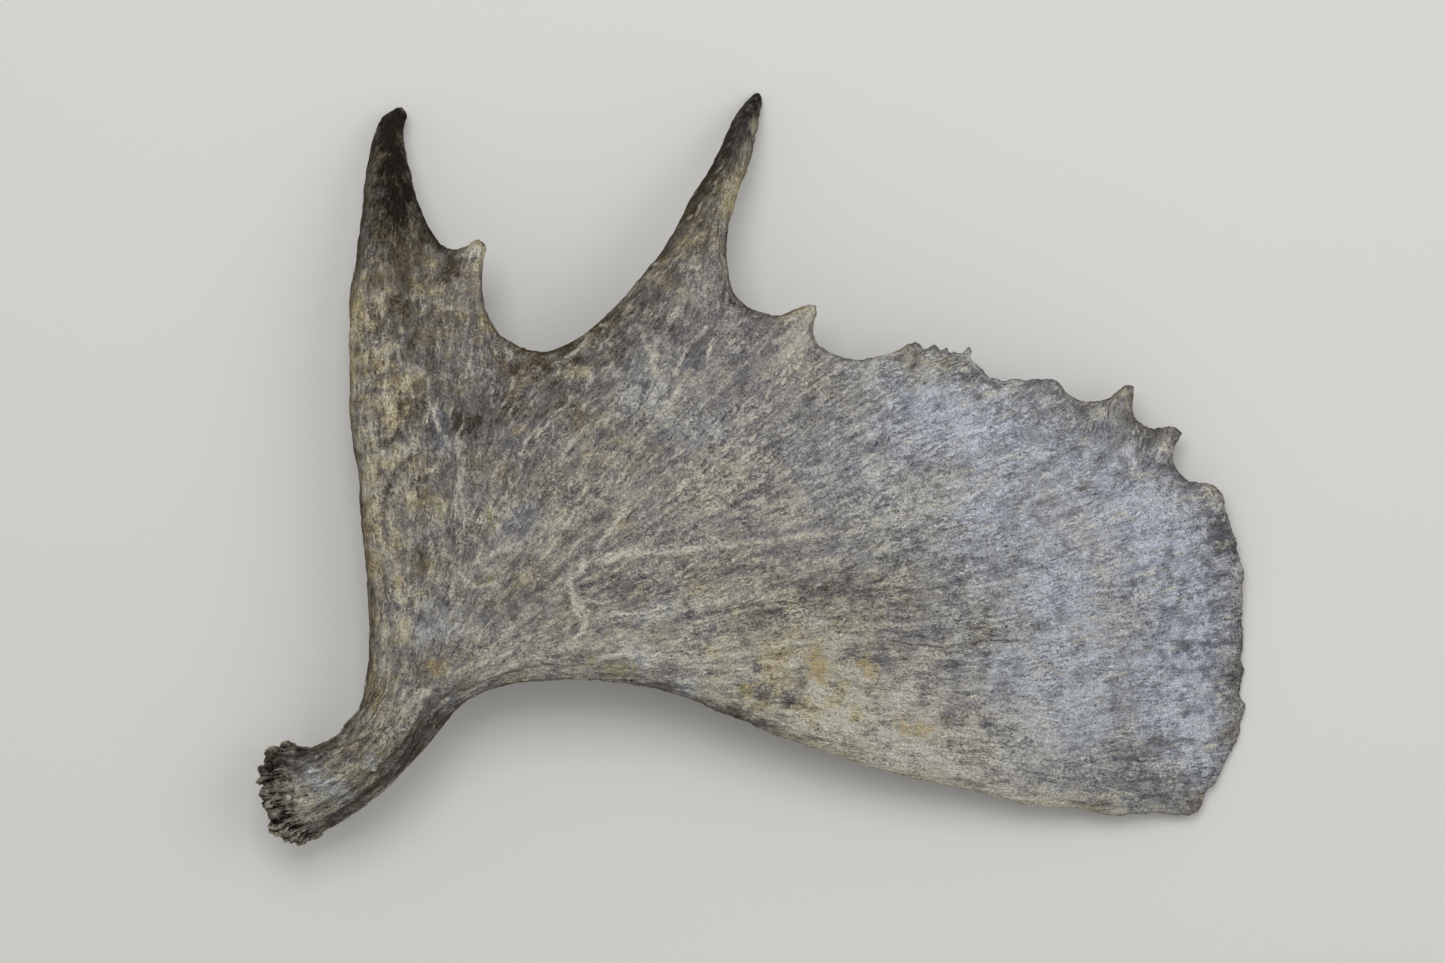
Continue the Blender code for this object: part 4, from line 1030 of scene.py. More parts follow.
GRAIN_BLEND = 80             # square millimetres over which neighbouring grain lines blend
BEAM_SKIN = (1.0, 1.6)       # shares of the beam's radius between which its own grain ends
BEAM_END = (-470, -400)      # X plus Y between which the beam runs out into the palms


def grain_directions(points, normals):
    """The way the bone's fibres run at each point, along the surface."""
    flat = np.zeros((len(points), 2))
    for line in GRAIN_LINES:
        gap, _, heading = nearest_on_line(points[:, :2], line)
        flat += heading / (gap ** 2 + GRAIN_BLEND)[:, None] ** 2
    flat /= np.linalg.norm(flat, axis=1)[:, None]
    ratio, axis = beam_distance(points)
    on_beam = (1 - ease_between(ratio, *BEAM_SKIN)) * (
        1 - ease_between(points[:, 0] + points[:, 1], *BEAM_END))
    grain = np.column_stack([flat, np.zeros(len(points))])
    grain += (axis - grain) * on_beam[:, None]
    grain -= normals * (grain * normals).sum(1)[:, None]
    length = np.linalg.norm(grain, axis=1)[:, None]
    return grain / np.maximum(length, 0.05), on_beam


def levelled(values):
    """The values with middle 0 and spread 1."""
    return (values - values.mean()) / values.std()


class Skin:
    """The skin's points in millimetres, with what both their relief and their stains go by.

    The last number in a call for noise, streaks or strokes is its seed.
    """

    def __init__(self, points, normals, plan):
        self.points = points
        self.upward = normals[:, 2]
        self.grain, self.on_beam = grain_directions(points, normals)
        self.off_beam = 1 - self.on_beam
        self.face = ease_between(self.upward, -0.1, 0.35)
        self.under = 1 - ease_between(self.upward, -0.5, 0.1)
        self.find_burr()
        row, column = ((points[:, :2] - plan["low"]) / plan["cell"]).T[::-1]
        depth = sample(plan["depth"], row, column)
        self.rim = np.exp(-(np.maximum(depth, 0) / 5.0) ** 2) * self.off_beam * (1 - self.burr)
        self.find_grain()
        self.find_marks()

    def find_burr(self):
        """Where the burr, the tips of its pearls and the fins between them are."""
        axes = np.array((burr_frame() @ Matrix.Scale(MM, 4)).inverted())
        in_burr = place(self.points) @ axes[:3, :3].T + axes[:3, 3]
        out = in_burr[:, 0]
        across = np.linalg.norm(in_burr[:, 1:], axis=1)
        self.burr = ease_between(out, -24, -8) * ease_between(across, 22, 30)
        self.tip_of_pearl = ease_between(across, BURR_RADIUS, 40)
        self.fringe = ease_between(out, -19, -9) * ease_between(across, 24, 31)
        arc = np.arctan2(-in_burr[:, 1], in_burr[:, 2]) * BURR_RADIUS
        folded = np.column_stack([arc, 0.16 * out, 0.2 * across])
        self.fins = np.clip(4 * noise(swayed(folded, 7.0, 1.6, 110), 2.2, 113) - 2, -1, 1)

    def find_grain(self):
        """Broad, middle and fine streaks of the bone, and the beam's long furrows."""
        self.broad = self.streaks(6.5, 30, 21)
        self.middle = self.streaks(3.4, 17, 22)
        self.fine = self.streaks(2.2, 11, 23)
        self.furrows = self.streaks(5.0, 46, 25, self.on_beam)

    def find_marks(self):
        """Raised veins, drying cracks, pores and the pits of the spongy rim."""
        ridges = [[(x, y, height / 1.8) for x, y, height in ridge] for ridge in FACE_RIDGES]
        veins = line_mask(self.points, VEINS + ridges, 1.9, 2.2, 31)
        veins = veins * self.face * ease_between(noise(self.points, 6, 33), 0.12, 0.55)
        long_lines = streaks(swayed(self.points, 14.0, 4.0, 106), self.grain, 4.2, 44, 24,
                             self.face)
        self.veins = np.maximum(veins, 0.55 * ease_between(long_lines, 1.0, 2.6) * self.face)
        self.cracks = line_mask(self.points, CRACKS, 1.5, 2.0, 35) * self.face
        holes = [[(x, y, 1.0)] for x, y in PORES]
        self.pores = line_mask(self.points, holes, 1.5, 0.6, 37) * self.face
        self.porous = self.strokes(POROUS, 41)
        self.pits = ease_between(noise(self.points, 3.0, 43), 0.62, 0.8) * self.porous

    def noise(self, size, seed):
        """Smooth noise from -1 to 1."""
        return 2 * noise(self.points, size, seed) - 1

    def streaks(self, width, length, seed, share=None):
        return streaks(self.points, self.grain, width, length, seed, share)

    def strokes(self, strokes, seed):
        return stroke_mask(self.points, strokes, seed)


def raised(skin):
    """How far each point of the skin stands up, in millimetres."""
    relief = 0.8 * skin.noise(60, 1) + 0.45 * skin.noise(24, 2) + 0.16 * skin.noise(9, 3)
    relief += 0.20 * skin.broad + 0.13 * skin.middle
    relief += skin.on_beam * (0.6 * skin.furrows + 0.15 * skin.middle)
    relief += 0.5 * skin.veins - 0.5 * skin.cracks - 0.9 * skin.pores - 0.7 * skin.pits
    relief += skin.rim * 0.35 * skin.noise(5, 4)
    relief += (skin.burr * (0.8 * skin.noise(6, 5) + 0.3 * skin.noise(3, 6))
               + 1.1 * skin.fringe * skin.fins)
    relief += skin.under * skin.off_beam * 0.4 * skin.streaks(11, 70, 26, skin.under)
    return relief


def painted(skin):
    """Every mask that the finish reads, three to a layer, by the layer's name."""
    points, grain, face, burr = skin.points, skin.grain, skin.face, skin.burr
    outer = 0.35 + 0.65 * face
    # Painted shade on the faces that turn sideways, away from the light above.
    side_shade = (1 - ease_between(skin.upward, 0.15, 0.75)) * face
    crevice_shade = skin.fringe * ease_between(-skin.fins, -0.1, 0.7)

    # Patches and streaks of the bone itself.
    bent = swayed(swayed(points, 9.0, 2.6, 101), 3.6, 0.8, 104)
    patches = levelled(noise(bent, 20, 51) + 0.85 * noise(bent, 10, 52)
                       + 0.7 * noise(bent, 5.5, 55) + 0.35 * noise(bent, 3.2, 56))
    tint = levelled(noise(bent, 30, 57) + 0.8 * noise(bent, 12, 58) + 0.5 * noise(bent, 6, 59))
    wisps = streaks(bent, grain, 3.0, 17, 54)
    rays = streaks(swayed(points, 22.0, 4.0, 107), grain, 6.0, 66, 56, face)
    spotted = skin.strokes(SPOTTED, 95) * outer
    fibrous = np.maximum(skin.strokes(FIBROUS, 96), skin.on_beam)
    fibres = skin.streaks(2.8, 34, 60, fibrous)

    # Dark and pale zones: stains, and painted shade on the tines, the beam, the burr and its
    # crevices.
    dark = skin.strokes(DARK_STAIN_AND_SHADE, 61) * outer
    # Painted shade in the burr's crevices: all of it but the pearls' tips, and between its fins.
    dark = np.maximum(dark, burr * (1 - skin.tip_of_pearl) * 0.42 + 0.5 * crevice_shade)
    cream = np.maximum(skin.strokes(CREAM, 71) * outer,
                       0.25 * burr * skin.tip_of_pearl
                       + 0.8 * skin.fringe * ease_between(skin.fins, -0.1, 0.8))
    bleach = skin.strokes(BLEACH, 66) * outer
    crazed = skin.strokes(CRAZED, 98) * face

    # How light the bone looks at each point, with painted shade on its sides, rim and broad zones,
    # and how yellow.
    level = (0.12 + 0.3 * spotted) * patches * (1 - 0.6 * skin.on_beam)
    level += 0.15 * wisps * (1 - 0.5 * fibrous) + 0.17 * rays * (1 - 0.55 * bleach)
    level += 0.15 * bleach * patches + 0.12 * skin.noise(45, 61)
    level += (0.25 * fibrous * fibres + 0.22 * skin.on_beam * skin.furrows + 0.9 * cream
              + 0.34 * bleach)
    level += 0.46 * skin.on_beam * (1 - 0.8 * burr)
    # Painted shade: the sides and the rim are darker, less so where the bone is cream.
    level -= ((0.6 + 0.1 * skin.on_beam) * side_shade + 0.3 * skin.rim) * (
        1 - 0.8 * np.clip(cream, 0, 1))
    # Darker blotches, and painted shade over the tines.
    level -= 0.75 * skin.strokes(SHADE, 88) * outer
    # Painted shade, and darker bone in places, from the broad zones.
    level -= 0.95 * skin.strokes(DIM_AND_PAINTED_SHADE, 89) * outer
    warmth = 0.28 * tint + 0.7 * skin.strokes(WARM, 91) + 0.1 * cream - 0.4 * bleach
    # Painted shade also browns the sides and the rim.
    warmth += 0.45 * side_shade + 0.35 * skin.rim + 0.1 * burr - 0.6 * skin.strokes(COOL, 93)

    soil = 0.5 * fibrous * ease_between(-fibres, 0.4, 1.6)
    # Soil in the furrows and the crazing, and painted shade between the burr's fins.
    soil += (0.5 * skin.on_beam * ease_between(-skin.furrows, 0.3, 1.6) + 0.35 * crazed
             + 0.7 * crevice_shade)
    # Painted shade in the hollows of the grain.
    hollow_shade = np.clip(-(0.3 * skin.broad + 0.5 * skin.middle + 0.35 * skin.fine) * 0.5, 0, 1)
    return {
        "grain": grain,
        "tone": (level, warmth, bleach * np.clip(1 - 0.7 * cream, 0, 1)),
        "stain": (skin.strokes(OCHRE, 76) * face, skin.strokes(GREEN, 81) * face,
                  skin.strokes(RUST, 86) * face),
        "marks": (skin.veins, np.maximum(skin.cracks, skin.pores),
                  np.maximum(hollow_shade, 0.8 * skin.pits)),
        "ground": (dark, skin.porous, soil),
        # The first of these is the burr's grime, with painted shade on the underside.
        "cover": (np.maximum(burr, skin.under * 0.3), crazed, fibrous),
    }


def refine_burr(mesh):
    """Halves the skin's cells round the burr, for its thin fins."""
    inward = burr_frame().inverted()
    bm = bmesh.new()
    bm.from_mesh(mesh)
    near = set()
    for vert in bm.verts:
        across = inward @ vert.co
        if across.x > -BURR_NEAR * MM and across.yz.length > BURR_NEAR * MM:
            near.add(vert)
    edges = [edge for edge in bm.edges if near.issuperset(edge.verts)]
    bmesh.ops.subdivide_edges(bm, edges=edges, cuts=1, use_grid_fill=True)
    bm.to_mesh(mesh)
    bm.free()


def store(mesh, name, values):
    """Keeps three numbers for each vertex of the mesh under a name."""
    values = values if isinstance(values, np.ndarray) else np.column_stack(values)
    layer = mesh.attributes.new(name, "FLOAT_VECTOR", "POINT")
    layer.data.foreach_set("vector", values.astype(np.float32).ravel())


def places_of(mesh):
    """Where the mesh's vertices lie, in metres."""
    spots = np.empty(len(mesh.vertices) * 3, np.float32)
    mesh.vertices.foreach_get("co", spots)
    return spots.reshape(-1, 3).astype(float)


def normals_of(mesh):
    """The directions that the mesh's vertices face."""
    normals = np.empty(len(mesh.vertices) * 3, np.float32)
    mesh.vertex_normals.foreach_get("vector", normals)
    return normals.reshape(-1, 3).astype(float)


# ---------------------------------------------------------------- node wiring

STREAK_GAIN = 3.0   # brings the mean of the samples back to the spread of one
RIPPLE = 0.0052     # how far the places that the noises read are shifted, in metres
WARM_TINT = (1.0, 0.9, 0.69, 1.0)
COOL_TINT = (0.93, 0.95, 1.06, 1.0)
BONE_GLOSS = 0.08
PAPER_GLOSS = 0.1
PALETTE = ("Umber", "Slate", "Fawn", "Cream", "Brown", "White", "Steel", "Pewter", "Frost", "Bark",
           "Ochre", "Green", "Rust")


class Wiring:
    """Adds nodes to one tree. A value is a number, a colour or another node's output."""

    def __init__(self, tree):
        self.tree = tree

    def node(self, kind, values=(), **settings):
        made = self.tree.nodes.new(kind)
        for name, value in settings.items():
            setattr(made, name, value)
        for key, value in dict(values).items():
            socket = made.inputs[key]
            if isinstance(value, bpy.types.NodeSocket):
                self.tree.links.new(value, socket)
            else:
                socket.default_value = value
        return made

    def math(self, operation, *values, clamp=False):
        return self.node("ShaderNodeMath", enumerate(values), operation=operation,
                         use_clamp=clamp).outputs[0]

    def total(self, *shares):
        """The sum of value times weight over all the pairs."""
        whole = 0.0
        for value, weight in shares:
            whole = self.math("MULTIPLY_ADD", value, weight, whole)
        return whole

    def mix(self, share, low, high, blend="MIX"):
        return self.node("ShaderNodeMix", {0: share, 6: low, 7: high}, data_type="RGBA",
                         blend_type=blend).outputs[2]

    def step(self, value, low, high, least=0.0, most=1.0):
        return self.node("ShaderNodeMapRange", {0: value, 1: low, 2: high, 3: least, 4: most},
                         interpolation_type="SMOOTHSTEP").outputs[0]

    def layer(self, name):
        """The three numbers of a layer that the skin carries."""
        held = self.node("ShaderNodeAttribute", attribute_name=name)
        parts = self.node("ShaderNodeSeparateXYZ", {0: held.outputs["Vector"]})
        return parts.outputs[0], parts.outputs[1], parts.outputs[2]


def shader_group(name, inputs, outputs):
    """A new shader node group, its wiring, and its input sockets by name."""
    tree = bpy.data.node_groups.new(name, "ShaderNodeTree")
    for label, kind in inputs:
        tree.interface.new_socket(label, in_out="INPUT", socket_type="NodeSocket" + kind)
    for label, kind in outputs:
        tree.interface.new_socket(label, in_out="OUTPUT", socket_type="NodeSocket" + kind)
    wires = Wiring(tree)
    return tree, wires, wires.node("NodeGroupInput").outputs


def grain_streaks(name, taps):
    """Noise drawn out along the grain: the mean of some samples taken along it."""
    tree, wires, given = shader_group(
        name,
        [("Vector", "Vector"), ("Grain", "Vector"), ("Scale", "Float"), ("Reach", "Float")],
        [("Streaks", "Float")])
    mean = 0.0
    for share in np.linspace(-0.5, 0.5, taps).tolist():
        step = wires.math("MULTIPLY", given["Reach"], share)
        shift = wires.node("ShaderNodeVectorMath", {0: given["Grain"], 3: step},
                           operation="SCALE")
        spot = wires.node("ShaderNodeVectorMath", {0: given["Vector"], 1: shift.outputs[0]},
                          operation="ADD")
        grains = wires.node("ShaderNodeTexNoise", {
            "Vector": spot.outputs[0], "Scale": given["Scale"], "Detail": 0.0})
        mean = wires.math("MULTIPLY_ADD", grains.outputs[0], 1 / taps, mean)
    wide = wires.math("MULTIPLY_ADD", wires.math("SUBTRACT", mean, 0.5), STREAK_GAIN, 0.5)
    wires.node("NodeGroupOutput", {0: wide})
    return tree


class BoneWiring(Wiring):
    """The wiring of the bone's group, with the layers and noises that all its parts read."""

    def __init__(self, tree, given, short_tree, long_tree):
        super().__init__(tree)
        self.given = given
        self.held = self.node("ShaderNodeAttribute", attribute_name="grain").outputs["Vector"]
        ripple = self.node("ShaderNodeTexNoise", {
            "Vector": given["Vector"], "Scale": 170.0, "Detail": 2.0}).outputs["Color"]
        ripple = self.node("ShaderNodeVectorMath", {0: ripple, 1: (0.5, 0.5, 0.5)},
                           operation="SUBTRACT").outputs[0]
        self.bent = self.node("ShaderNodeVectorMath", {
            0: ripple, 1: (RIPPLE, RIPPLE, RIPPLE), 2: given["Vector"]},
            operation="MULTIPLY_ADD").outputs[0]
        self.level, self.warmth, self.sun = self.layer("tone")
        self.ochre, self.green, self.rust = self.layer("stain")
        self.veins, self.cracks, self.hollow_shade = self.layer("marks")
        self.dark, self.porous, self.soil = self.layer("ground")
        self.grime, self.crazed, self.fibrous = self.layer("cover")
        self.threads = self.streak(600.0, 0.006, short_tree)
        self.fibres = self.streak(1400.0, 0.003, short_tree)
        self.furrows = self.streak(330.0, 0.011, short_tree)
        self.strings = self.streak(480.0, 0.024, long_tree)
        self.gutters = self.math("MULTIPLY", self.thin_lines(self.strings, 0.08), self.fibrous)
        self.clouds = self.cloud(130.0, 5.0, 0.62)
        self.grit = self.cloud(520.0, 2.0, 0.6)
        self.crumbs = self.cloud(1150.0, 1.0)

    def streak(self, scale, reach, streak_tree):
        """Noise drawn out along the grain, from one of the streak groups."""
        made = self.node("ShaderNodeGroup", node_tree=streak_tree)
        for label, value in (("Scale", scale), ("Reach", reach)):
            made.inputs[label].default_value = value
        self.tree.links.new(self.bent, made.inputs["Vector"])
        self.tree.links.new(self.held, made.inputs["Grain"])
        return made.outputs[0]

    def cloud(self, scale, detail, rough=0.5):
        """Plain noise on the rippled places."""
        return self.node("ShaderNodeTexNoise", {
            "Vector": self.bent, "Scale": scale, "Detail": detail, "Roughness": rough}).outputs[0]

    def thin_lines(self, value, width):
        """Narrow lines where a noise passes its middle."""
        away = self.math("ABSOLUTE", self.math("SUBTRACT", value, 0.5))
        return self.step(away, 0.0, width, 1.0, 0.0)


def bone_patches(bone):
    """Pale and grey patches, in a sunned and an unsunned set, tinted warmer and cooler."""
    given = bone.given
    blotches = bone.total((bone.clouds, 1.5), (bone.grit, 1.5), (-1.5, 1.0))
    calm = bone.total((1.0, 1.0), (bone.fibrous, -0.65), (bone.sun, -0.2))
    strung = bone.total((bone.strings, 1.0), (-0.5, 1.0))
    small = bone.total((bone.threads, 0.65), (bone.furrows, 0.4), (-0.525, 1.0), (strung, 0.4),
                       (bone.math("MULTIPLY", blotches, calm), 1.0),
                       (bone.math("MULTIPLY", strung, bone.fibrous), 0.6))
    unrest = bone.step(bone.cloud(34.0, 2.0), 0.36, 0.64, 0.5, 1.4)
    patchy = bone.total((bone.level, 1.0), (bone.math("MULTIPLY", small, unrest), 1.0),
                        (0.265, 1.0))
    plain = bone.mix(bone.step(patchy, -1.6, -0.2), given["Umber"], given["Slate"])
    plain = bone.mix(bone.step(patchy, -0.45, 0.3), plain, given["Fawn"])
    plain = bone.mix(bone.step(patchy, 0.0, 1.1), plain, given["Cream"])
    plain = bone.mix(bone.step(patchy, 0.7, 2.0), plain, given["White"])
    sunned = bone.mix(bone.step(patchy, -0.7, 0.25), given["Steel"], given["Pewter"])
    sunned = bone.mix(bone.step(patchy, 0.0, 1.1), sunned, given["Frost"])
    base = bone.mix(bone.sun, plain, sunned)
    hue = bone.total((bone.warmth, 1.0), (given["Warmth"], 1.0), (bone.cloud(75.0, 3.0), 2.0),
                     (-1.0, 1.0))
    hue = bone.math("MULTIPLY", hue, bone.total(
        (1.0, 1.0), (bone.sun, -0.55), (bone.step(patchy, 0.3, 1.5), -0.45)))
    for way, tint in ((1.0, WARM_TINT), (-1.0, COOL_TINT)):
        base = bone.mix(bone.math("MULTIPLY", hue, way, clamp=True), base, tint,
                        blend="MULTIPLY")
    return base


def bone_soil(bone, base):
    """Thin brown lines, dashes and specks of soil in the grain. The lines' mask comes second."""
    lines = bone.math("MULTIPLY", bone.thin_lines(bone.furrows, 0.14), bone.step(
        bone.clouds, 0.44, 0.6, 1.0, 0.15))
    # The soil and grime masks also carry painted shade between the burr's fins and on the
    # underside.
    dashes = bone.step(bone.total(
        (bone.threads, -0.6), (bone.strings, -0.7), (bone.grit, -0.7), (bone.soil, 0.5),
        (bone.given["Soil"], 1.0), (1.35, 1.0)), 0.62, 1.05)
    dirt = bone.total((lines, 0.22), (bone.gutters, 0.55), (dashes, 0.42),
                      (bone.math("MULTIPLY", lines, bone.crazed), 0.8),
                      (bone.math("MULTIPLY", bone.soil, dashes), 0.45),
                      (bone.math("MULTIPLY", bone.grime, dashes), 0.5))
    dirt = bone.math("MULTIPLY", dirt, bone.math("MULTIPLY_ADD", bone.sun, -0.45, 1.0),
                     clamp=True)
    base = bone.mix(bone.math("MULTIPLY", dirt, 0.85), base, bone.given["Brown"])
    dots = bone.node("ShaderNodeTexVoronoi", {"Vector": bone.bent, "Scale": 230.0})
    chosen = bone.node("ShaderNodeSeparateXYZ", {0: dots.outputs["Color"]}).outputs[0]
    specks = bone.math("MULTIPLY", bone.step(dots.outputs["Distance"], 0.1, 0.24, 1.0, 0.0),
                       bone.step(chosen, 0.9, 0.92))
    return bone.mix(bone.math("MULTIPLY", specks, 0.6), base, bone.given["Brown"]), dirt


def bone_veins(bone, base):
    """Broken pale veins."""
    worn = bone.total((bone.threads, 0.7), (bone.grit, 0.6), (bone.clouds, 0.8), (-0.25, 1.0))
    pale = bone.math("MULTIPLY", bone.math("MULTIPLY", bone.veins, 1.5), worn, clamp=True)
    return bone.mix(bone.math("MULTIPLY", pale, 0.85), base, bone.given["White"])


def bone_stains(bone, base):
    """Ochre, green and rust stains with broken edges, and the dark of the tines and the burr: stain
    in part, painted shade in part.
    """
    given = bone.given
    broken = bone.total((bone.crumbs, 0.8), (bone.threads, 0.6), (bone.clouds, 1.2), (-0.3, 1.0))
    for mask, tint, strength in ((bone.ochre, given["Ochre"], 0.7),
                                 (bone.green, given["Green"], 0.6),
                                 (bone.rust, given["Rust"], 0.65)):
        ragged = bone.step(bone.total((mask, 1.0), (bone.clouds, 2.8), (bone.crumbs, 0.8),
                                      (bone.threads, 0.9), (-2.25, 1.0)), 0.1, 1.35)
        share = bone.math("MULTIPLY", ragged, bone.step(mask, 0.02, 0.3))
        base = bone.mix(bone.math("MULTIPLY", share, strength), base, tint)
    shade = bone.math("MULTIPLY", bone.dark, bone.total(
        (broken, 0.2), (bone.threads, -0.5), (bone.strings, -0.45), (1.38, 1.0)), clamp=True)
    # The burr darkened by grime, and the underside by painted shade.
    shade = bone.math("MAXIMUM", shade, bone.math("MULTIPLY", bone.grime, 0.2))
    return bone.mix(bone.math("MULTIPLY", shade, 0.96), base, given["Bark"])


def bone_openings(bone, base):
    """Dark cracks and the holes of the spongy rim. How deep each point lies comes second."""
    pores = bone.node("ShaderNodeTexVoronoi", {"Vector": bone.given["Vector"], "Scale": 300.0})
    holes = bone.math("MULTIPLY", bone.step(pores.outputs["Distance"], 0.16, 0.4, 1.0, 0.0),
                      bone.math("MULTIPLY", bone.porous, 0.75))
    split = bone.step(bone.total((bone.cracks, 1.0), (bone.threads, 0.8), (bone.grit, 1.0),
                                 (-0.9, 1.0)), 0.45, 1.05)
    split = bone.math("MULTIPLY", split, bone.step(bone.cracks, 0.1, 0.3))
    base = bone.mix(bone.math("MULTIPLY", split, 0.8), base, bone.given["Brown"])
    base = bone.mix(holes, base, bone.given["Bark"])
    return base, bone.math("MAXIMUM", split, holes, clamp=True)


def bone_fine_tone(bone, base):
    """The finest light and dark of the fibres, with painted shade in the hollows of the grain."""
    value = bone.total((bone.threads, 0.35), (bone.fibres, 0.75), (bone.crumbs, 1.35),
                       (bone.grit, 0.8), (bone.hollow_shade, -0.2), (-0.61, 1.0))
    tone = bone.node("ShaderNodeCombineXYZ", {0: value, 1: value, 2: value}).outputs[0]
    return bone.mix(1.0, base, tone, blend="MULTIPLY")


def weathered_bone(short_tree, long_tree):
    """The antler's surface: pale and grey patches, brown grain, raised veins, stains, pits and
    painted shade.
    """
    tree, _, given = shader_group(
        "Weathered bone",
        [("Vector", "Vector"), *((name, "Color") for name in PALETTE), ("Soil", "Float"),
         ("Warmth", "Float")],
        [("Colour", "Color"), ("Roughness", "Float"), ("Height", "Float")])
    bone = BoneWiring(tree, given, short_tree, long_tree)
    base, dirt = bone_soil(bone, bone_patches(bone))
    base = bone_stains(bone, bone_veins(bone, base))
    base, deep = bone_openings(bone, base)
    base = bone_fine_tone(bone, base)
    rough = bone.total((0.66, 1.0), (dirt, 0.1), (bone.veins, -0.12), (bone.crumbs, 0.12),
                       (bone.dark, -0.1))
    height = bone.total((bone.threads, 0.0004), (bone.furrows, 0.0005), (bone.fibres, 0.0002),
                        (bone.crumbs, 0.0003), (bone.grit, 0.0005), (bone.clouds, 0.0006),
                        (deep, -0.0006), (bone.strings, 0.0004), (bone.gutters, -0.0006))
    bone.node("NodeGroupOutput", {"Colour": base, "Roughness": rough, "Height": height})
    return tree


def bone_material(name, tree, finish, soil, warmth):
    """The weathered bone on one piece, with its own amount of soil and warmth."""
    material = bpy.data.materials.new(name)
    material.use_nodes = True
    wires = Wiring(material.node_tree)
    shader = material.node_tree.nodes["Principled BSDF"]
    spot = wires.node("ShaderNodeTexCoord").outputs["Object"]
    surface = wires.node("ShaderNodeGroup", node_tree=tree)
    wires.tree.links.new(spot, surface.inputs["Vector"])
    for label in PALETTE:
        surface.inputs[label].default_value = (*getattr(finish, label.lower()), 1.0)
    surface.inputs["Soil"].default_value = soil
    surface.inputs["Warmth"].default_value = warmth
    bump = wires.node("ShaderNodeBump", {
        "Strength": 1.0, "Distance": 1.0, "Height": surface.outputs["Height"]})
    for output, socket in ((surface.outputs["Colour"], "Base Color"),
                           (surface.outputs["Roughness"], "Roughness"),
                           (bump.outputs["Normal"], "Normal")):
        wires.tree.links.new(output, shader.inputs[socket])
    shader.inputs["Specular IOR Level"].default_value = BONE_GLOSS
    return material


def bone_tree():
    """The shared surface group, built when it is first asked for."""
    return bpy.data.node_groups.get("Weathered bone") or weathered_bone(
        grain_streaks("Grain streaks", 7), grain_streaks("Long grain streaks", 15))


# ---------------------------------------------------------------- thinning and cutting the skin

SPARED = 1000.0          # how strongly triangles outside the mask are spared
UNDERSIDE = (-0.45, -0.1)   # upright part of the normal between which the underside ends
UPPER_FACE = -0.2           # and above which the upper face begins


def thinned(mesh, where, kept):
    """The mesh with this share of its triangles kept where a mask says so. The rest stays."""
    thing = linked("thinned", mesh)
    group = thing.vertex_groups.new(name="thinned")
    bm = bmesh.new()
    bm.from_mesh(mesh)
    weight = bm.verts.layers.deform.verify()
    for vert, share in zip(bm.verts, where):
        vert[weight][group.index] = float(share)
    bm.to_mesh(mesh)
    bm.free()
    thin = thing.modifiers.new("thin", "DECIMATE")
    thin.vertex_group = group.name
    thin.vertex_group_factor = SPARED
    thin.ratio = 1 - float((where > 0.5).mean()) * (1 - kept)
    thin.use_collapse_triangulate = True
    return finished_mesh(thing)


def beyond_fork(points):
    """Whether each point lies in the main palm, clear of its cut."""
    start, end = np.array(PALM_CUT)
    along = (end - start) / np.linalg.norm(end - start)
    away = (points[:, 0] - start[0]) * -along[1] + (points[:, 1] - start[1]) * along[0]
    return away > FORK_MARGIN


def keep_side(bm, line, side):
    """Cuts the mesh upright along a line seen from above, and keeps its left or right side."""
    start, end = (Vector(place((*p, 0))) for p in line)
    normal = (end - start).cross(Vector((0, 0, 1))).normalized() * side
    geometry = bm.verts[:] + bm.edges[:] + bm.faces[:]
    bmesh.ops.bisect_plane(bm, geom=geometry, plane_co=start, plane_no=normal,
                           clear_inner=True, dist=1e-7)
    rim = [e for e in bm.edges if e.is_boundary]
    caps = bmesh.ops.holes_fill(bm, edges=rim)["faces"]
    mark = bm.faces.layers.int["cap"]
    for cap in caps:
        cap[mark] = 1


def keep_shading(mesh):
    """The skin's own normals along the cuts, so that no seam shows, and flat ones on the caps."""
    caps = np.zeros(len(mesh.polygons), np.int32)
    mesh.attributes["cap"].data.foreach_get("value", caps)
    held = np.empty(len(mesh.vertices) * 3, np.float32)
    mesh.attributes["smooth"].data.foreach_get("vector", held)
    held = held.reshape(-1, 3)
    corner = np.empty(len(mesh.loops), np.int32)
    mesh.loops.foreach_get("vertex_index", corner)
    seam = np.zeros(len(mesh.vertices), bool)
    flat = {}
    for i in np.flatnonzero(caps):
        polygon = mesh.polygons[i]
        seam[list(polygon.vertices)] = True
        for loop in polygon.loop_indices:
            flat[loop] = polygon.normal
    normals = np.where(seam[corner][:, None], held[corner], 0.0)
    for loop, normal in flat.items():
        normals[loop] = normal
    mesh.normals_split_custom_set(normals.tolist())
    mesh.attributes.remove(mesh.attributes["cap"])
    mesh.attributes.remove(mesh.attributes["smooth"])


def parted(name, cuts, soil, warmth):
    """One piece of the antler: the whole skin less what lies beyond its cuts."""
    skin = bpy.data.objects.get("antler_skin")
    if skin is None:
        raise RuntimeError("the skin comes first: run Grow the skin")
    bm = bmesh.new()
    bm.from_mesh(skin.data)
    bm.faces.layers.int.new("cap")
    for line, side in cuts:
        keep_side(bm, line, side)
    mesh = bpy.data.meshes.new(name)
    bm.to_mesh(mesh)
    bm.free()
    mesh.shade_smooth()
    keep_shading(mesh)
    finish = bpy.context.scene.antler_finish
    mesh.materials.append(bone_material(name, bone_tree(), finish, soil, warmth))
    return linked(name, mesh)


def seat(piece, node):
    """The piece rides on the one body and stands for its solid."""
    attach(piece, "root")
    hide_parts(node)


# ---------------------------------------------------------------- operators

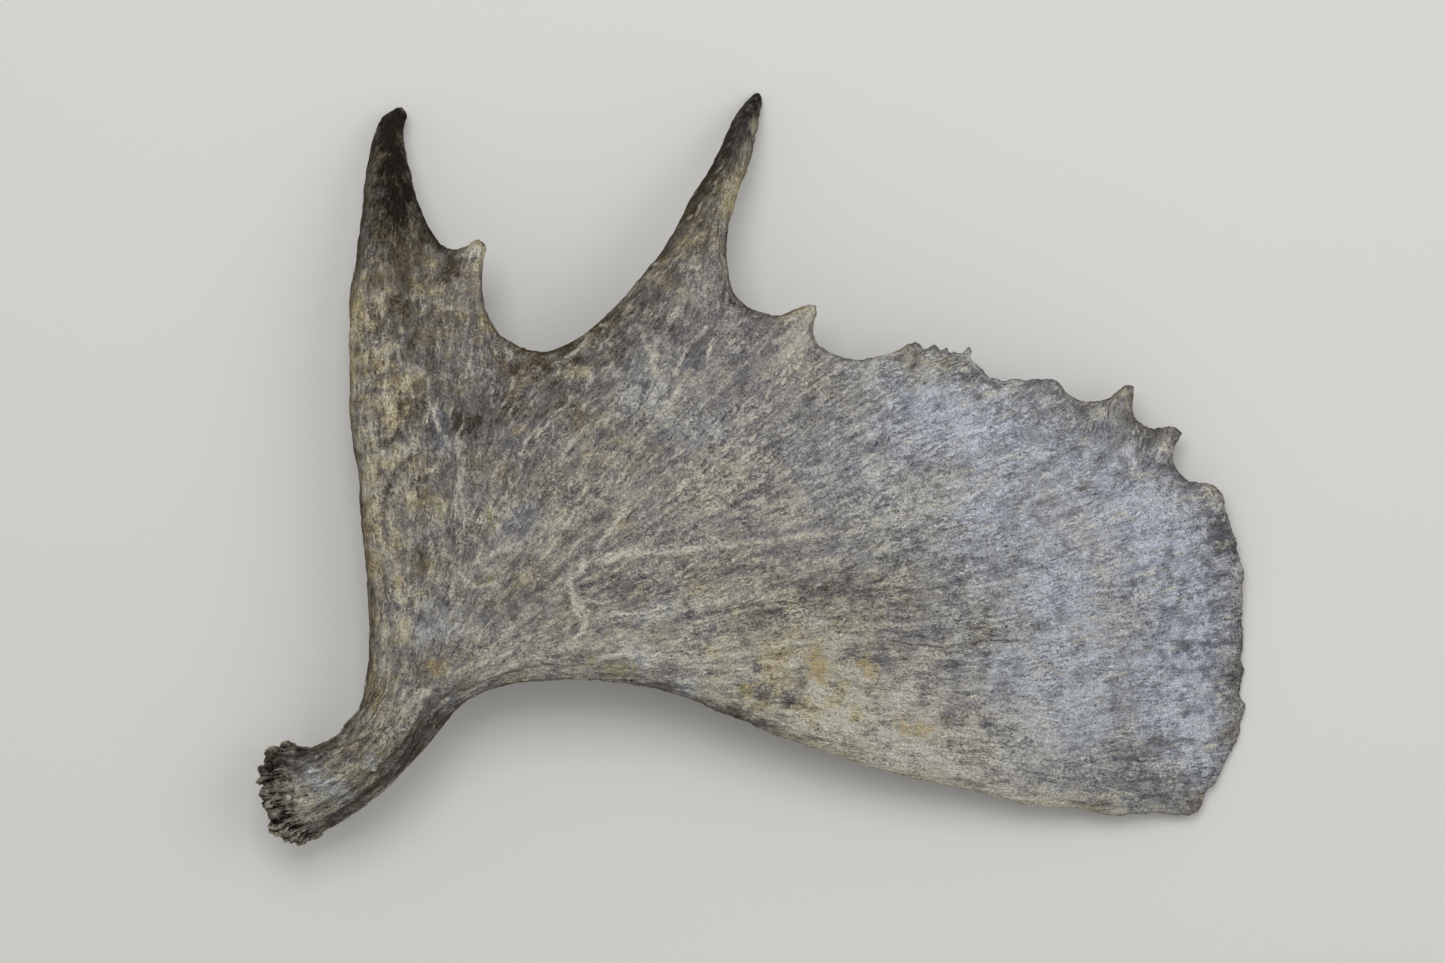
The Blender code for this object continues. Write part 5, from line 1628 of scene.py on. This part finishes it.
class ANTLER_OT_skin(bpy.types.Operator):
    """Fuse palms, beam and burr in one skin and work its relief, grain, stains and painted shade"""
    bl_idname = "antler.skin"
    bl_label = "Grow the skin"

    def execute(self, context):
        form = context.scene.antler_form
        plan = palm_plan(form.sheet_cell / MM)
        plain = bpy.data.materials.new("raw_bone")
        parts = [palm_sheets(plan), *burr_meshes(form, plain)]
        parts += [strand(stations) for stations in [BEAM_AXIS, *map(beam_ridge, BEAM_RIDGES)]]
        bm = bmesh.new()
        for part in parts:
            bm.from_mesh(part)
        raw = bpy.data.meshes.new("raw")
        bm.to_mesh(raw)
        bm.free()
        skin = linked("skin", raw)
        fuse = skin.modifiers.new("fuse", "REMESH")
        fuse.mode = "VOXEL"
        fuse.voxel_size = form.skin_cell
        even = skin.modifiers.new("even", "SMOOTH")
        even.factor = 0.5
        even.iterations = 3
        mesh = finished_mesh(skin)
        refine_burr(mesh)

        spots, normals = places_of(mesh), normals_of(mesh)
        worked = Skin(spots / MM - PLACE, normals, plan)
        spots += normals * (raised(worked) * form.relief * MM)[:, None]
        spots[:, 2] = np.maximum(spots[:, 2], FLOOR_LEVEL)
        mesh.vertices.foreach_set("co", spots.astype(np.float32).ravel())
        mesh.update()
        for name, values in painted(worked).items():
            store(mesh, name, values)
        mesh = thinned(mesh, 1 - ease_between(normals[:, 2], *UNDERSIDE), form.underside)
        broad = beyond_fork(places_of(mesh) / MM - PLACE) & (normals_of(mesh)[:, 2] > UPPER_FACE)
        mesh = thinned(mesh, broad, form.upper_face)
        store(mesh, "smooth", normals_of(mesh))
        linked("antler_skin", mesh)
        return {"FINISHED"}


class ANTLER_OT_beam(bpy.types.Operator):
    """Part the round beam with its burr from the skin"""
    bl_idname = "antler.beam"
    bl_label = "Beam and burr"

    def execute(self, context):
        piece = parted("beam_bone", [(BEAM_CUT, 1)], soil=0.1, warmth=-0.15)
        seat(piece, "beam")
        return {"FINISHED"}


class ANTLER_OT_brow_palm(bpy.types.Operator):
    """Part the brow palm with its dark tine from the skin"""
    bl_idname = "antler.brow_palm"
    bl_label = "Brow palm"

    def execute(self, context):
        piece = parted("brow_palm_bone", [(BEAM_CUT, -1), (PALM_CUT, 1)], soil=0.05, warmth=-0.1)
        seat(piece, "brow_palm")
        return {"FINISHED"}


class ANTLER_OT_main_palm(bpy.types.Operator):
    """Part the broad main palm with its points from the skin"""
    bl_idname = "antler.main_palm"
    bl_label = "Main palm"

    def execute(self, context):
        piece = parted("main_palm_bone", [(BEAM_CUT, -1), (PALM_CUT, -1)], soil=0.0, warmth=-0.31)
        seat(piece, "main_palm")
        return {"FINISHED"}


FLOOR_REACH = 12.0
ROOM_COLOUR = (1.0, 0.99, 0.975, 1.0)


def soft_light(name, spot, aim, size, power):
    """A large square light that looks at a point."""
    lamp = bpy.data.lights.new(name, "AREA")
    lamp.size = size
    lamp.energy = power
    thing = linked(name, lamp)
    thing.location = spot
    thing.rotation_euler = (Vector(aim) - Vector(spot)).to_track_quat("-Z", "Y").to_euler()


class ANTLER_OT_stage(bpy.types.Operator):
    """Lay the floor and set up the lights, the room and the camera"""
    bl_idname = "antler.stage"
    bl_label = "Stage"

    def execute(self, context):
        studio = context.scene.antler_studio
        bm = bmesh.new()
        bmesh.ops.create_circle(bm, cap_ends=True, segments=96, radius=FLOOR_REACH,
                                matrix=Matrix.Translation((0, 0, FLOOR_LEVEL)))
        mesh = bpy.data.meshes.new("floor")
        bm.to_mesh(mesh)
        bm.free()
        floor = linked("floor", mesh)
        matte = bpy.data.materials.new("floor_paper")
        matte.use_nodes = True
        shader = matte.node_tree.nodes["Principled BSDF"]
        shader.inputs["Base Color"].default_value = (*studio.floor, 1.0)
        shader.inputs["Roughness"].default_value = 0.9
        shader.inputs["Specular IOR Level"].default_value = PAPER_GLOSS
        mesh.materials.append(matte)

        world = bpy.data.worlds.new("room")
        world.use_nodes = True
        backdrop = world.node_tree.nodes["Background"]
        backdrop.inputs["Color"].default_value = ROOM_COLOUR
        backdrop.inputs["Strength"].default_value = studio.sky
        context.scene.world = world
        soft_light("key", (-0.35, 1.1, 2.6), (0, 0, 0), 1.4, studio.key_power)
        soft_light("fill", (1.6, 0.3, 2.2), (0.1, 0, 0), 1.8, studio.fill_power)

        lens = bpy.data.cameras.new("camera")
        lens.sensor_width = 36.0
        lens.lens = lens.sensor_width * (studio.camera_height - TRACED_HEIGHT) / PHOTO_SPAN
        camera = linked("camera", lens)
        camera.location = (*PHOTO_CENTRE, studio.camera_height)
        context.scene.camera = camera
        context.scene.view_settings.view_transform = "Standard"
        return {"FINISHED"}


class ANTLER_PT_panel(bpy.types.Panel):
    """The antler's pieces and their settings"""
    bl_label = "Moose antler"
    bl_space_type = "VIEW_3D"
    bl_region_type = "UI"
    bl_category = "Antler"

    def draw(self, context):
        layout = self.layout
        for step in STEPS:
            layout.operator(step.bl_idname)
        for group in (context.scene.antler_form, context.scene.antler_finish,
                      context.scene.antler_studio):
            box = layout.box()
            for name in group.__annotations__:
                box.prop(group, name)


STEPS = (ANTLER_OT_skin, ANTLER_OT_beam, ANTLER_OT_brow_palm, ANTLER_OT_main_palm,
         ANTLER_OT_stage)
GROUPS = {"antler_form": AntlerForm, "antler_finish": AntlerFinish, "antler_studio": StudioSetup}


def register():
    for kind in (*GROUPS.values(), *STEPS, ANTLER_PT_panel):
        bpy.utils.register_class(kind)
    for name, kind in GROUPS.items():
        setattr(bpy.types.Scene, name, PointerProperty(type=kind))


def unregister():
    for name in GROUPS:
        delattr(bpy.types.Scene, name)
    for kind in (ANTLER_PT_panel, *STEPS, *GROUPS.values()):
        bpy.utils.unregister_class(kind)


def main():
    """Builds the antler and its stage in the open file."""
    for thing in list(bpy.data.objects):
        if thing.name in ("Cube", "Light", "Camera"):
            bpy.data.objects.remove(thing)
    register()
    bpy.ops.antler.skin()
    bpy.ops.antler.beam()
    bpy.ops.antler.brow_palm()
    bpy.ops.antler.main_palm()
    bpy.ops.antler.stage()
    bpy.data.objects.remove(bpy.data.objects["antler_skin"])


if __name__ == "__main__":
    main()
